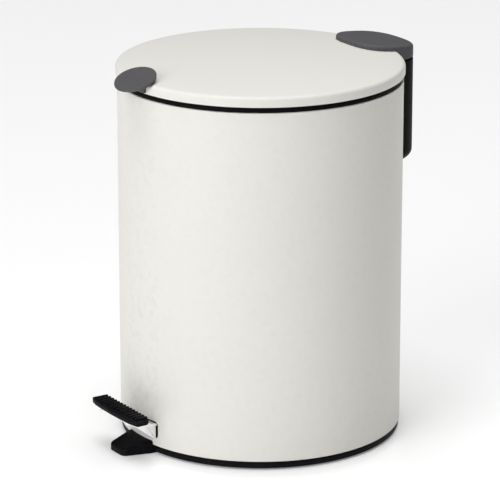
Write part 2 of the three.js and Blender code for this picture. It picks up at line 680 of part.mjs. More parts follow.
function pedalLever() {
  const [front, back] = [LEVER_FRONT, LEVER_END];
  const [narrows, narrow] = [back - 77.1, back - 27.1];
  const under = (y) => [y, leverTop(y) - PEDAL_T];
  const strip = crosswise(sheetShape([under(front), under(back)]), -LEVER_W, LEVER_W);
  const plan = shapeOf([
    [-LEVER_W, front],
    [LEVER_W, front],
    [LEVER_W, narrows],
    [TAIL_W, narrow],
    [TAIL_W, back],
    [-TAIL_W, back],
    [-TAIL_W, narrow],
    [-LEVER_W, narrows],
  ]);
  const ears = [-LEVER_W, LEVER_W - PEDAL_T].map((x) => {
    const roof = leverTop(-PIVOT_Y) - 1;
    const profile = shapeOf([
      [-PIVOT_Y - 7, roof],
      [-PIVOT_Y - 4.2, PIVOT_Z - 3],
      [-PIVOT_Y, PIVOT_Z - 4.6],
      [-PIVOT_Y + 4.2, PIVOT_Z - 3],
      [-PIVOT_Y + 7, roof],
    ]);
    return crosswise(profile, x, x + PEDAL_T);
  });
  const rivets = RIVETS.map(([x, y]) => bar("z", SCREW_R + GAP, [x, y, 0], 60));
  const hole = bar("x", PIVOT_R + GAP, [-30, -PIVOT_Y, PIVOT_Z], 60);
  return cut(join(strip.intersect(upright(plan, -20, 60)), ...ears), hole, ...rivets);
}

function leverRivet([x, y]) {
  const [low, high] = [leverTop(y) - PEDAL_T, leverTop(y) + GAP + PEDAL_T];
  const heads = [bar("z", 2.6, [x, y, low - 1.4], 1), bar("z", 2.6, [x, y, high + 0.4], 1)];
  return join(...heads, bar("z", SCREW_R, [x, y, low - 1], high - low + 2));
}

const pivotPin = () => bar("x", PIVOT_R, [-LEVER_W - 6.5, -PIVOT_Y, PIVOT_Z], 2 * LEVER_W + 13);

/** Underside of the pedal arm outside the body, from the wall to its front end. */
function armUnder() {
  return [
    [TREAD_FRONT + 1.8, TREAD_BASE - 0.9],
    [-BODY_R - 13, TREAD_BASE - 1.2],
    [-BODY_R - 9.5, TREAD_BASE - 2.2],
    [-BODY_R - 2, ARM_UNDER + 0.4],
    [ARM_BEND, ARM_UNDER],
  ];
}

function pedalArm() {
  const sheet = sheetShape([...armUnder(), [ARM_END, leverTop(ARM_END) + GAP]]);
  const neck = ARM_SHOULDER + 12;
  const plan = shapeOf([
    [-ARM_TAIL_W, ARM_END],
    [-ARM_TAIL_W, neck],
    [-PEDAL_W, ARM_SHOULDER],
    [-PEDAL_W, TREAD_FRONT],
    [PEDAL_W, TREAD_FRONT],
    [PEDAL_W, ARM_SHOULDER],
    [ARM_TAIL_W, neck],
    [ARM_TAIL_W, ARM_END],
  ]);
  const plate = crosswise(sheet, -PEDAL_W, PEDAL_W).intersect(upright(plan, -20, 80));
  const skirt = shapeOf([
    ...armUnder().map(([y, z]) => [y, z + 1]),
    [-BODY_R + 2.4, SLOT_LOW + 0.2],
    [-BODY_R - 0.8, SLOT_LOW + 0.8],
    [-BODY_R - 7, SLOT_LOW + 5.2],
    [-BODY_R - 16, TREAD_BASE - 4.9],
    [TREAD_FRONT + 4.3, TREAD_BASE - 2.6],
    [TREAD_FRONT + 1.8, TREAD_BASE - 2],
  ]);
  const wall = bar("z", BODY_R + 0.8, [0, 0, -5], 60, BIG_SIDES);
  const skirts = [-PEDAL_W, PEDAL_W - 1.5].map((x) => cut(crosswise(skirt, x, x + 1.5), wall));
  const rivets = RIVETS.map(([x, y]) => bar("z", SCREW_R + GAP, [x, y, 0], 60));
  const screws = TREAD_SCREWS.map(([x, y]) => bar("z", SCREW_R + GAP, [x, y, 0], 60));
  return cut(join(plate, ...skirts), ...rivets, ...screws);
}

function treadScrew([x, y]) {
  const under = TREAD_BASE - 1.1;
  const head = bar("z", 2.8, [x, y, under - 1.9], 1.5);
  return join(head, bar("z", SCREW_R, [x, y, under - 1], 5));
}

function pedalTread() {
  const [front, back] = [TREAD_FRONT, TREAD_BACK];
  const outline = (inset, z) => {
    const half = TREAD_W - inset;
    const bow = 2.4;
    const round = 5.5 - inset / 2;
    const shape = new THREE.Shape();
    shape.moveTo(-half + round, back - inset);
    shape.quadraticCurveTo(-half, back - inset, -half, back - inset - round);
    shape.quadraticCurveTo(-half, front + bow + inset, -half + round, front + bow * 0.7 + inset);
    shape.quadraticCurveTo(0, front - bow * 0.5 + inset, half - round, front + bow * 0.7 + inset);
    shape.quadraticCurveTo(half, front + bow + inset, half, back - inset - round);
    shape.quadraticCurveTo(half, back - inset, half - round, back - inset);
    return shape.getPoints(5).map((p) => new THREE.Vector3(p.x, p.y, z));
  };
  const base = TREAD_BASE;
  const deck = TREAD_TOP - RIB_H;
  const pad = loft([outline(1, base), outline(0, base + 1.2), outline(0, deck - 0.4), outline(0.5, deck)]);
  const ribs = Array.from({ length: RIBS }, (_, i) => {
    const x = (i - (RIBS - 1) / 2) * RIB_PITCH;
    return block([x - RIB_W / 2, front + 3.4, deck - 0.6], [x + RIB_W / 2, back - 0.8, TREAD_TOP]);
  });
  const pocket = crosswise(
    shapeOf([
      [front + 1.2, base - 5],
      [back + 5, base - 5],
      [back + 5, base + 1.5],
      [front + 1.2, base + 1.5],
    ]),
    -PEDAL_W - GAP,
    PEDAL_W + GAP,
  );
  const threads = TREAD_SCREWS.map(([x, y]) => bar("z", SCREW_R + GAP, [x, y, 0], base + 3.2));
  return cut(join(pad, ...ribs), pocket, ...threads);
}

function pushRod() {
  const crotch = LIFT_Z - 5.5;
  const foot = leverTop(SHOE_Y) + GAP + 6;
  const stem = block([-ROD_W, ROD_Y, foot], [ROD_W, ROD_Y + ROD_T, crotch]);
  const inner = ARM_T / 2 + 0.5;
  const cheeks = [-ROD_W, inner].map((x) =>
    block([x, ROD_Y, crotch - 1.2], [x + ROD_W - inner, HEAD_BACK, LIFT_Z + 4.4]),
  );
  const mouth = LIFT_PIN_R + 0.5;
  const middle = ROD_Y + ROD_T + ROD_CLEAR - 0.4;
  const slot = block([-10, middle, LIFT_Z - mouth], [10, BODY_R + 5, LIFT_Z + mouth]);
  return cut(join(stem, ...cheeks), slot);
}

/** Plastic shoe on the rod's lower end; its round underside rides on the lever. */
function rodShoe() {
  const low = leverTop(SHOE_Y) + GAP;
  const high = low + 16;
  const profile = new THREE.Shape();
  profile.moveTo(ROD_Y - 1.5, high);
  profile.lineTo(ROD_Y - 1.5, low + 6);
  profile.quadraticCurveTo(ROD_Y - 1, low + 0.1, SHOE_Y, low);
  profile.quadraticCurveTo(SHOE_BACK, low + 0.1, SHOE_BACK, low + 5);
  profile.lineTo(SHOE_BACK, low + 8);
  profile.lineTo(ROD_Y + ROD_T + 1.8, high);
  const half = ROD_W + 1.5;
  const socketLow = [-ROD_W - GAP, ROD_Y - GAP, low + 6 - GAP];
  const socket = block(socketLow, [ROD_W + GAP, ROD_Y + ROD_T + GAP, high + 5]);
  return cut(crosswise(profile, -half, half, 4), socket);
}

/** Guide on the body's inner wall that keeps the rod upright. */
function rodGuide(z) {
  const front = ROD_Y - 1.8;
  const frame = block([-9, front, z], [9, BODY_R, z + GUIDE_H]);
  const way = block([-ROD_W - GAP, ROD_Y - GAP, z - 5], [ROD_W + GAP, ROD_Y + ROD_T + GAP, z + GUIDE_H + 5]);
  const wall = bar("z", BODY_IN - GAP, [0, 0, z - 5], 20, BIG_SIDES);
  return cut(frame.intersect(wall), way);
}

// ---- Finishes and scene -----------------------------------------------------------------------
const FINISHES = {
  paint: { color: 0xe4e2da, roughness: 0.42, metalness: 0.0 },
  plastic: { color: 0x201f22, roughness: 0.6, metalness: 0.0 },
  capPlastic: { color: 0x4a494c, roughness: 0.7, metalness: 0.0 },
  bucket: { color: 0x2b2b2d, roughness: 0.55, metalness: 0.0 },
  chrome: { color: 0xd8d9db, roughness: 0.12, metalness: 1.0 },
  steel: { color: 0x9a9c9e, roughness: 0.4, metalness: 1.0 },
  rubber: { color: 0x17171a, roughness: 0.9, metalness: 0.0 },
  acetal: { color: 0xd9d7cf, roughness: 0.5, metalness: 0.0 },
};

const bin = new THREE.Group();

/** Adds one named piece to the bin. */
function add(name, solid, finish) {
  const mesh = new THREE.Mesh(geometryOf(solid), new THREE.MeshStandardMaterial(FINISHES[finish]));
  mesh.name = name;
  bin.add(mesh);
}

add("body_shell", bodyShell(), "paint");
add("base_moulding", baseMoulding(), "plastic");
padPlaces().forEach((place, i) => add(`foot_pad_${i + 1}`, footPad(place), "rubber"));
add("rim_ring", rimRing(), "plastic");
add("inner_bucket", innerBucket(), "bucket");
add("bucket_bail", bucketBail(), "steel");
add("bail_grip", bailGrip(), "plastic");
add("hinge_housing", hingeHousing(), "plastic");
add("housing_screw_left", housingScrew(-WALL_SCREW_X), "steel");
add("housing_screw_right", housingScrew(WALL_SCREW_X), "steel");
add("hinge_pin", hingePin(), "steel");
add("lid_shell", lidShell(), "paint");
add("lid_liner", lidLiner(), "bucket");
bufferPlaces().forEach((place, i) => add(`lid_buffer_${i + 1}`, lidBuffer(place), "rubber"));
add("front_tab", frontTab(), "capPlastic");
add("hinge_cap", hingeCap(), "capPlastic");
add("cap_screw_left", capScrew(-SCREW_X), "steel");
add("cap_screw_right", capScrew(SCREW_X), "steel");
add("hinge_arm", hingeArm(), "steel");
add("hinge_bush", hingeBush(), "acetal");
add("lift_pin", liftPin(), "steel");
add("pivot_pin", pivotPin(), "steel");
add("pedal_lever", pedalLever(), "steel");
RIVETS.forEach((place, i) => add(`lever_rivet_${i + 1}`, leverRivet(place), "steel"));
add("pedal_arm", pedalArm(), "chrome");
add("pedal_tread", pedalTread(), "plastic");
TREAD_SCREWS.forEach((place, i) => add(`tread_screw_${i + 1}`, treadScrew(place), "steel"));
add("push_rod", pushRod(), "steel");
add("rod_shoe", rodShoe(), "acetal");
add("rod_guide_lower", rodGuide(GUIDE_LOW), "acetal");
add("rod_guide_upper", rodGuide(HOUSING_Z0 + 22), "acetal");

export default bin;
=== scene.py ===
"""Round steel pedal bin in a plain studio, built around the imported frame. Metres, +Z up.

Solids are worked in millimetres, in the frame's own axes, and brought to metres when they are
finished. The pedal points to -Y and the hinge to +Y.
"""

import logging
import math
from collections.abc import Callable, Sequence
from dataclasses import dataclass, field
from enum import Enum
from functools import cache
from typing import Any

import bmesh
import bpy
from mathutils import Matrix, Vector


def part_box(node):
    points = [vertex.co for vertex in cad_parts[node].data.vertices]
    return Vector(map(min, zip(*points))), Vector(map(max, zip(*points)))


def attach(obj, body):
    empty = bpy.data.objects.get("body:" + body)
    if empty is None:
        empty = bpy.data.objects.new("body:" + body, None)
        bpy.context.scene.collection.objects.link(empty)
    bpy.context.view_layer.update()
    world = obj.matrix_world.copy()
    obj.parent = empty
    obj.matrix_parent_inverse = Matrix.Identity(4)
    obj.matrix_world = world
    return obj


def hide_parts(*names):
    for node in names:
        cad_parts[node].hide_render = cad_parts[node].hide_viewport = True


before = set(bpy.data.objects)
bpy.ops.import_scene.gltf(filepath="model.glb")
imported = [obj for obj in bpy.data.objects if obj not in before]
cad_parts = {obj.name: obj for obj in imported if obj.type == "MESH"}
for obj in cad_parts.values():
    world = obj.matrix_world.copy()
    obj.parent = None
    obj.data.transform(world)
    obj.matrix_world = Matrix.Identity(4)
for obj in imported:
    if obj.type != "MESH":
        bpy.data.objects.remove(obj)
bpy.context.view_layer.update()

MM = 0.001
GAP = 0.3  # mm, between pieces that touch
SIDES = 256  # sides of the large round pieces
FEW_SIDES = 32  # sides of pins, holes and screws
FULL_BEND = 1.3  # radians of bend at a point that count as a full edge
FAR = 60.0  # mm, length of a cutter that runs right through
PAST = 5.0  # mm, how far a cutter reaches past what it cuts
SCREW_HOLE = 1.8  # mm, radius of the holes for cap screws, tread screws and rivets
WALL_HOLE = 2.3  # mm, radius of the holes for the housing screws
PIN_BORE = 2.8  # mm, radius of the bores for the hinge pin and the pivot pin

Point = tuple[float, float]
Corner = tuple[float, float, float]
Level = Callable[[float, float], float]
Color = tuple[float, float, float]

log = logging.getLogger("pedal_bin")


class Plane(Enum):
    """Plane that an outline is drawn in; it is extruded across it."""

    LEVEL = "XY"
    SIDE = "YZ"
    FRONT = "XZ"


class Rider(Enum):
    """Bodies of the frame that a piece can ride on."""

    ROOT = "root"
    LID = "lid"
    PEDAL = "pedal"
    ROD = "push_rod"
    BAIL = "bail"


class Slot(Enum):
    """Material slots of the frame's record."""

    PAINT = "painted_steel"
    BLACK = "black_plastic"
    CAP = "cap_plastic"
    BUCKET = "bucket_plastic"
    CHROME = "polished_chrome"
    STEEL = "plain_steel"
    RUBBER = "rubber"
    ACETAL = "acetal"


# ---- Shaders ------------------------------------------------------------------------------------
class Value:
    """A shader socket that takes part in Python arithmetic; each step adds a Math node."""

    def __init__(self, shader: "Shader", socket: bpy.types.NodeSocket) -> None:
        """Keeps the socket and the shader that it belongs to."""
        self.shader = shader
        self.socket = socket

    def _math(self, operation: str, first: Any, second: Any) -> "Value":
        """Adds a Math node of an operation on two values."""
        return self.shader.node("ShaderNodeMath", {"operation": operation}, {0: first, 1: second})

    def __add__(self, other: Any) -> "Value":
        """Sum."""
        return self._math("ADD", self, other)

    def __radd__(self, other: Any) -> "Value":
        """Sum with a number on the left."""
        return self._math("ADD", other, self)

    def __sub__(self, other: Any) -> "Value":
        """Difference."""
        return self._math("SUBTRACT", self, other)

    def __rsub__(self, other: Any) -> "Value":
        """Difference from a number on the left."""
        return self._math("SUBTRACT", other, self)

    def __mul__(self, other: Any) -> "Value":
        """Product."""
        return self._math("MULTIPLY", self, other)

    def __rmul__(self, other: Any) -> "Value":
        """Product with a number on the left."""
        return self._math("MULTIPLY", other, self)


class Shader:
    """Node tree of one material, around one Principled shader."""

    def __init__(self, name: str) -> None:
        """Makes an empty material.

        Args:
            name: Name of the material.
        """
        self.material = bpy.data.materials.new(name)
        self.material.use_nodes = True
        self.tree = self.material.node_tree
        self.tree.nodes.clear()

    def node(
        self,
        kind: str,
        settings: dict[str, Any] | None = None,
        inputs: dict[int | str, Any] | None = None,
        output: int | str = 0,
    ) -> Value:
        """Adds a node.

        Args:
            kind: Type of the node.
            settings: Its properties; "stops" holds a ramp's (place, grey) pairs.
            inputs: Numbers or values for its sockets.
            output: Socket to hand back.

        Returns:
            The chosen output.
        """
        made = self.tree.nodes.new(kind)
        for name, value in (settings or {}).items():
            if name == "stops":
                self._set_stops(made.color_ramp, value)
            else:
                setattr(made, name, value)
        for name, value in (inputs or {}).items():
            if isinstance(value, Value):
                self.tree.links.new(value.socket, made.inputs[name])
            else:
                made.inputs[name].default_value = value
        return Value(self, made.outputs[output])

    @staticmethod
    def _set_stops(ramp: bpy.types.ColorRamp, stops: Sequence[Point]) -> None:
        """Sets the two stops of a grey ramp."""
        for element, (place, grey) in zip(ramp.elements, stops):
            element.position = place
            element.color = (grey, grey, grey, 1.0)

    def place(self) -> Value:
        """Object coordinates."""
        return self.node("ShaderNodeTexCoord", output="Object")

    def wear(self) -> Value:
        """How much a point stands out, from 0 on flats to 1 on edges."""
        return self.node("ShaderNodeAttribute", {"attribute_name": "wear"}, output="Fac")

    def noise(self, size: float, detail: float = 2.0, stretch: Color = (1.0, 1.0, 1.0)) -> Value:
        """Noise from 0 to 1.

        Args:
            size: Size of its blotches in millimetres.
            detail: Octaves.
            stretch: How much longer the blotches are along X, Y and Z.

        Returns:
            The noise.
        """
        scale = tuple(1.0 / part for part in stretch)
        point = self.node("ShaderNodeMapping", None, {"Vector": self.place(), "Scale": scale})
        inputs = {"Vector": point, "Scale": 1.0 / (size * MM), "Detail": detail}
        return self.node("ShaderNodeTexNoise", None, inputs, "Fac")

    def step(self, value: Value, low: float, high: float) -> Value:
        """Soft step of a value, from 0 at low to 1 at high."""
        stops = [(low, 0.0), (high, 1.0)]
        return self.node("ShaderNodeValToRGB", {"stops": stops}, {"Fac": value})

    def mix(self, factor: Value, first: Color | Value, second: Color | Value) -> Value:
        """Mixes two colours.

        Args:
            factor: Share of the second.
            first: Colour at 0.
            second: Colour at 1.

        Returns:
            The mixed colour.
        """
        ends = [end if isinstance(end, Value) else (*end, 1.0) for end in (first, second)]
        inputs = {0: factor, 6: ends[0], 7: ends[1]}
        return self.node("ShaderNodeMix", {"data_type": "RGBA"}, inputs, 2)

    def bump(self, height: Value, depth: float, strength: float) -> Value:
        """Surface normal from a height.

        Args:
            height: Height from 0 to 1.
            depth: Its full depth in millimetres.
            strength: Share of it that shows.

        Returns:
            The normal.
        """
        inputs = {"Height": height, "Distance": depth * MM, "Strength": strength}
        return self.node("ShaderNodeBump", None, inputs)

    def close(self, **inputs: Any) -> bpy.types.Material:
        """Feeds the Principled shader and the output.

        Args:
            **inputs: The shader's sockets, with _ for each space.

        Returns:
            The finished material.
        """
        named = {name.replace("_", " "): value for name, value in inputs.items()}
        surface = self.node("ShaderNodeBsdfPrincipled", None, named)
        self.node_output(surface)
        return self.material

    def node_output(self, surface: Value) -> None:
        """Links a surface to the material's output."""
        output = self.tree.nodes.new("ShaderNodeOutputMaterial")
        self.tree.links.new(surface.socket, output.inputs["Surface"])


# ---- Finishes -----------------------------------------------------------------------------------
@dataclass(frozen=True)
class SatinPaint:
    """Sprayed satin paint: faint orange peel, soft clouds and rubbed edges."""

    slot: Slot
    color: Color
    rubbed: Color
    roughness: float = 0.42
    gloss: float = 0.22
    peel: float = 0.9  # mm, size of the orange peel
    depth: float = 0.02  # mm

    @cache
    def material(self) -> bpy.types.Material:
        """Builds the material once."""
        shader = Shader(self.slot.value)
        cloud = shader.noise(38.0, 3.0)
        fine = shader.noise(self.peel, 2.0)
        specks = shader.step(shader.noise(0.45, 1.0), 0.70, 0.80)
        shade = tuple(0.955 * part for part in self.color)
        rubbing = shader.wear() * shader.step(shader.noise(5.0, 4.0), 0.45, 0.75) * 0.5
        tone = shader.mix(cloud * 0.5, self.color, shade)
        speckled = shader.mix(specks * 0.10, tone, self.rubbed)
        return shader.close(
            Base_Color=shader.mix(rubbing, speckled, self.rubbed),
            Roughness=self.roughness - 0.05 + cloud * 0.07 + specks * 0.08 - rubbing * 0.1,
            Normal=shader.bump(fine, self.depth, 0.35),
            Specular_IOR_Level=self.gloss,
        )


@dataclass(frozen=True)
class MouldedPlastic:
    """Moulded plastic: spark-eroded grain, faint flow marks and edges that are rubbed smooth."""

    slot: Slot
    color: Color
    rubbed: Color
    roughness: float
    grain: float = 0.35  # mm, size of the grain
    depth: float = 0.03  # mm
    gloss: float = 0.04

    @cache
    def material(self) -> bpy.types.Material:
        """Builds the material once."""
        shader = Shader(self.slot.value)
        flow = shader.noise(16.0, 3.0, (3.0, 1.0, 1.0))
        grain = shader.noise(self.grain, 2.0)
        rubbing = shader.wear() * shader.step(shader.noise(3.0, 3.0), 0.30, 0.70)
        light = tuple(1.22 * part for part in self.color)
        tone = shader.mix(flow * 0.6, self.color, light)
        return shader.close(
            Base_Color=shader.mix(rubbing * 0.55, tone, self.rubbed),
            Roughness=self.roughness - 0.05 + flow * 0.08 + grain * 0.04 - rubbing * 0.12,
            Normal=shader.bump(grain, self.depth, 0.55),
            Specular_IOR_Level=self.gloss,
        )


@dataclass(frozen=True)
class PolishedChrome:
    """Bright plate: a little waviness from the press and finger smudges."""

    slot: Slot
    color: Color = (0.88, 0.88, 0.89)

    @cache
    def material(self) -> bpy.types.Material:
        """Builds the material once."""
        shader = Shader(self.slot.value)
        wave = shader.noise(9.0, 1.0)
        smudge = shader.step(shader.noise(6.0, 5.0), 0.45, 0.70)
        dull = tuple(0.93 * part for part in self.color)
        return shader.close(
            Base_Color=shader.mix(smudge * 0.6, self.color, dull),
            Roughness=0.05 + smudge * 0.07 + shader.wear() * 0.03,
            Normal=shader.bump(wave, 0.05, 0.3),
            Metallic=1.0,
        )


@dataclass(frozen=True)
class ZincSteel:
    """Plated steel: drawn lines along Z, spangled patches and brighter edges."""

    slot: Slot
    color: Color = (0.56, 0.56, 0.57)

    @cache
    def material(self) -> bpy.types.Material:
        """Builds the material once."""
        shader = Shader(self.slot.value)
        drawn = shader.noise(0.35, 2.0, (1.0, 1.0, 24.0))
        patch = shader.noise(4.0, 2.0)
        bright = tuple(1.2 * part for part in self.color)
        dull = tuple(0.78 * part for part in self.color)
        tone = shader.mix(patch, dull, self.color)
        return shader.close(
            Base_Color=shader.mix(shader.wear() * 0.6, tone, bright),
            Roughness=0.24 + patch * 0.14 + drawn * 0.08,
            Normal=shader.bump(drawn, 0.02, 0.4),
            Metallic=1.0,
        )


PAINT = SatinPaint(Slot.PAINT, (0.80, 0.785, 0.74), (0.62, 0.61, 0.58))
BLACK = MouldedPlastic(Slot.BLACK, (0.0045, 0.0040, 0.0050), (0.030, 0.029, 0.031), 0.46)
CHARCOAL = MouldedPlastic(Slot.CAP, (0.085, 0.082, 0.086), (0.16, 0.158, 0.162), 0.55, gloss=0.1)
BUCKET = MouldedPlastic(Slot.BUCKET, (0.030, 0.030, 0.032), (0.07, 0.07, 0.072), 0.42, 0.5)
RUBBER = MouldedPlastic(Slot.RUBBER, (0.012, 0.012, 0.013), (0.035, 0.034, 0.033), 0.82, 0.6, 0.06)
ACETAL = MouldedPlastic(Slot.ACETAL, (0.70, 0.68, 0.62), (0.80, 0.78, 0.73), 0.38, 0.8, 0.01)
CHROME = PolishedChrome(Slot.CHROME)
STEEL = ZincSteel(Slot.STEEL)
Finish = SatinPaint | MouldedPlastic | PolishedChrome | ZincSteel


# ---- Outlines -----------------------------------------------------------------------------------
def span(node: str) -> tuple[Vector, Vector]:
    """Lowest and highest corner of a node of the frame, in millimetres."""
    low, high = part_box(node)
    return Vector(low) / MM, Vector(high) / MM


def middle(node: str) -> Vector:
    """Middle of a node of the frame, in millimetres."""
    low, high = span(node)
    return (low + high) / 2


def fillet(corners: Sequence[Corner], steps: int = 6) -> list[Point]:
    """Rounds the corners of a closed outline with arcs.

    Args:
        corners: Place and radius of each corner.
        steps: Steps of each arc.

    Returns:
        The outline's points.
    """
    points: list[Point] = []
    for i, (x, y, radius) in enumerate(corners):
        here = Vector((x, y))
        before = (Vector(corners[i - 1][:2]) - here).normalized()
        after = (Vector(corners[(i + 1) % len(corners)][:2]) - here).normalized()
        half = before.angle(after) / 2
        if radius == 0 or half > math.radians(89.5):
            points.append((x, y))
            continue
        reach = radius / math.tan(half)
        centre = here + (before + after).normalized() * radius / math.sin(half)
        start = here + before * reach - centre
        end = here + after * reach - centre
        turn = math.atan2(start.x * end.y - start.y * end.x, start.dot(end))
        first = math.atan2(start.y, start.x)
        for step in range(steps + 1):
            angle = first + turn * step / steps
            points.append((centre.x + radius * math.cos(angle), centre.y + radius * math.sin(angle)))
    return points


def arc(centre: Point, radius: float, first: float, last: float, steps: int) -> list[Point]:
    """Points of an arc between two angles in degrees, ends included."""
    angles = [math.radians(first + (last - first) * i / steps) for i in range(steps + 1)]
    return [(centre[0] + radius * math.cos(a), centre[1] + radius * math.sin(a)) for a in angles]


def drawn_in(outline: Sequence[Point], distance: float) -> list[Point]:
    """Moves a smooth counter-clockwise outline inwards.

    Args:
        outline: Points of the outline.
        distance: How far, in millimetres.

    Returns:
        The moved points.
    """
    moved = []
    for i, (x, y) in enumerate(outline):
        before, after = Vector(outline[i - 1]), Vector(outline[(i + 1) % len(outline)])
        along = (after - before).normalized()
        moved.append((x - along.y * distance, y + along.x * distance))
    return moved


def oval(
    centre: float, width: float, front: float, back: float, powers: Point = (2.0, 2.0), count: int = 128
) -> list[Point]:
    """Outline of a superellipse with different ends.

    Args:
        centre: Place of its widest line along Y.
        width: Half width.
        front: Length towards -Y.
        back: Length towards +Y.
        powers: Powers of the front and the back.
        count: Number of points.

    Returns:
        The points, counter-clockwise.
    """
    points = []
    for i in range(count):
        cos, sin = math.cos(math.tau * i / count), math.sin(math.tau * i / count)
        reach, power = (back, powers[1]) if sin > 0 else (front, powers[0])
        x = width * math.copysign(abs(cos) ** (2 / power), cos)
        points.append((x, centre + reach * math.copysign(abs(sin) ** (2 / power), sin)))
    return points


# ---- Solids -------------------------------------------------------------------------------------
class Solid:
    """A closed mesh in millimetres that is cut, joined and rounded before it becomes a piece."""

    def __init__(self, mesh: bpy.types.Mesh) -> None:
        """Takes a mesh and turns its faces outwards.

        Args:
            mesh: The mesh, in millimetres.
        """
        self.object = bpy.data.objects.new("solid", mesh)
        bpy.context.scene.collection.objects.link(self.object)
        self.settle()

    @classmethod
    def of(cls, vertices: Sequence[Sequence[float]], faces: Sequence[Sequence[int]]) -> "Solid":
        """A solid from its points and faces."""
        mesh = bpy.data.meshes.new("solid")
        mesh.from_pydata(vertices, [], faces)
        return cls(mesh)

    @classmethod
    def lathe(cls, outline: Sequence[Point], sides: int = SIDES, centre: Point = (0.0, 0.0)) -> "Solid":
        """Turns a closed outline of radii and heights about an upright axis.

        Args:
            outline: Its points; an outline that starts and ends on the axis is closed there.
            sides: Number of sides.
            centre: Place of the axis.

        Returns:
            The solid.
        """
        vertices: list[Sequence[float]] = []
        rings: list[list[int]] = []
        for radius, height in outline:
            count = sides if radius > 1e-6 else 1
            rings.append(list(range(len(vertices), len(vertices) + count)))
            for i in range(count):
                angle = math.tau * i / sides
                x = centre[0] + radius * math.cos(angle)
                vertices.append((x, centre[1] + radius * math.sin(angle), height))
        faces = []
        for low, high in zip(rings, rings[1:] + rings[:1]):
            for i in range(sides if len(low) + len(high) > 2 else 0):
                j = (i + 1) % sides
                corners = [low[i % len(low)], low[j % len(low)], high[j % len(high)], high[i % len(high)]]
                faces.append(list(dict.fromkeys(corners)))
        return cls.of(vertices, faces)

    @classmethod
    def drum(
        cls, radius: float, low: float, high: float, sides: int = SIDES, centre: Point = (0.0, 0.0)
    ) -> "Solid":
        """A solid cylinder about an upright axis, between two heights."""
        return cls.lathe([(0.0, low), (radius, low), (radius, high), (0.0, high)], sides, centre)

    @classmethod
    def loft(cls, rings: Sequence[Sequence[Sequence[float]]]) -> "Solid":
        """A solid through rings of points, closed by a flat face at each end."""
        count = len(rings[0])
        faces: list[list[int]] = [list(range(count))[::-1]]
        for level in range(len(rings) - 1):
            first = level * count
            for i in range(count):
                j = (i + 1) % count
                faces.append([first + i, first + j, first + count + j, first + count + i])
        last = (len(rings) - 1) * count
        faces.append(list(range(last, last + count)))
        return cls.of([point for ring in rings for point in ring], faces)

    @classmethod
    def prism(cls, outline: Sequence[Point], plane: Plane, low: float, high: float) -> "Solid":
        """Extrudes an outline across its plane.

        Args:
            outline: Its points.
            plane: The plane that it is drawn in.
            low: Where the solid starts across the plane.
            high: Where it ends.

        Returns:
            The solid.
        """
        place = {
            Plane.LEVEL: lambda a, b, c: (a, b, c),
            Plane.SIDE: lambda a, b, c: (c, a, b),
            Plane.FRONT: lambda a, b, c: (a, c, b),
        }[plane]
        return cls.loft([[place(a, b, c) for a, b in outline] for c in (low, high)])

    @classmethod
    def block(cls, low: Sequence[float], high: Sequence[float]) -> "Solid":
        """A box between two corners."""
        outline = [(low[0], low[1]), (high[0], low[1]), (high[0], high[1]), (low[0], high[1])]
        return cls.prism(outline, Plane.LEVEL, low[2], high[2])

    @classmethod
    def bar(cls, plane: Plane, centre: Point, radius: float, low: float, high: float) -> "Solid":
        """A round bar across a plane."""
        outline = arc(centre, radius, 0, 360, FEW_SIDES)[:-1]
        return cls.prism(outline, plane, low, high)

    @classmethod
    def slab(
        cls, outline: Sequence[Point], low: Level, high: Level, low_round: float, high_round: float
    ) -> "Solid":
        """A solid under an outline with rounded lower and upper edges.

        Args:
            outline: Its points, counter-clockwise.
            low: Height of the underside at a place.
            high: Height of the top at a place.
            low_round: Radius of the lower edge.
            high_round: Radius of the upper edge.

        Returns:
            The solid.
        """
        rings = []
        angles = [math.radians(15 * step) for step in range(7)]
        for angle in angles:
            ring = drawn_in(outline, low_round * (1 - math.sin(angle)))
            rise = low_round * (1 - math.cos(angle))
            rings.append([(x, y, low(x, y) + rise) for x, y in ring])
        for angle in angles:
            ring = drawn_in(outline, high_round * (1 - math.cos(angle)))
            fall = high_round * (1 - math.sin(angle))
            rings.append([(x, y, high(x, y) - fall) for x, y in ring])
        return cls.loft(rings)

    @classmethod
    def copy_of(cls, node: str) -> "Solid":
        """A merged copy of a node of the frame, with its flat faces made whole."""
        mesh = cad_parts[node].data.copy()
        mesh.transform(Matrix.Scale(1 / MM, 4))
        mesh.materials.clear()
        return cls(mesh).clean()

    def settle(self) -> "Solid":
        """Turns the faces outwards."""
        return self._edit(lambda work: bmesh.ops.recalc_face_normals(work, faces=work.faces))

    def clean(self) -> "Solid":
        """Merges doubled points and makes flat faces whole."""

        def tidy(work: bmesh.types.BMesh) -> None:
            bmesh.ops.remove_doubles(work, verts=work.verts, dist=0.002)
            edges, points = list(work.edges), list(work.verts)
            bmesh.ops.dissolve_limit(work, angle_limit=math.radians(0.3), edges=edges, verts=points)

        return self._edit(tidy)

    def _edit(self, change: Callable[[bmesh.types.BMesh], Any]) -> "Solid":
        """Changes the mesh by a function on it."""
        work = bmesh.new()
        work.from_mesh(self.object.data)
        change(work)
        work.to_mesh(self.object.data)
        work.free()
        return self

    def _apply(self) -> "Solid":
        """Turns the modifiers into the mesh."""
        graph = bpy.context.evaluated_depsgraph_get()
        made = bpy.data.meshes.new_from_object(self.object.evaluated_get(graph))
        self.object.modifiers.clear()
        self.object.data = made
        return self

    def _combine(self, others: Sequence["Solid"], operation: str) -> "Solid":
        """Combines other solids with this one, and uses them up."""
        for other in others:
            change = self.object.modifiers.new("combine", "BOOLEAN")
            change.operation = operation
            change.solver = "MANIFOLD"
            change.object = other.object
            self._apply()
            other.discard()
        return self

    def cut(self, *others: "Solid") -> "Solid":
        """Cuts other solids away."""
        return self._combine(others, "DIFFERENCE")

    def add(self, *others: "Solid") -> "Solid":
        """Joins other solids on."""
        return self._combine(others, "UNION")

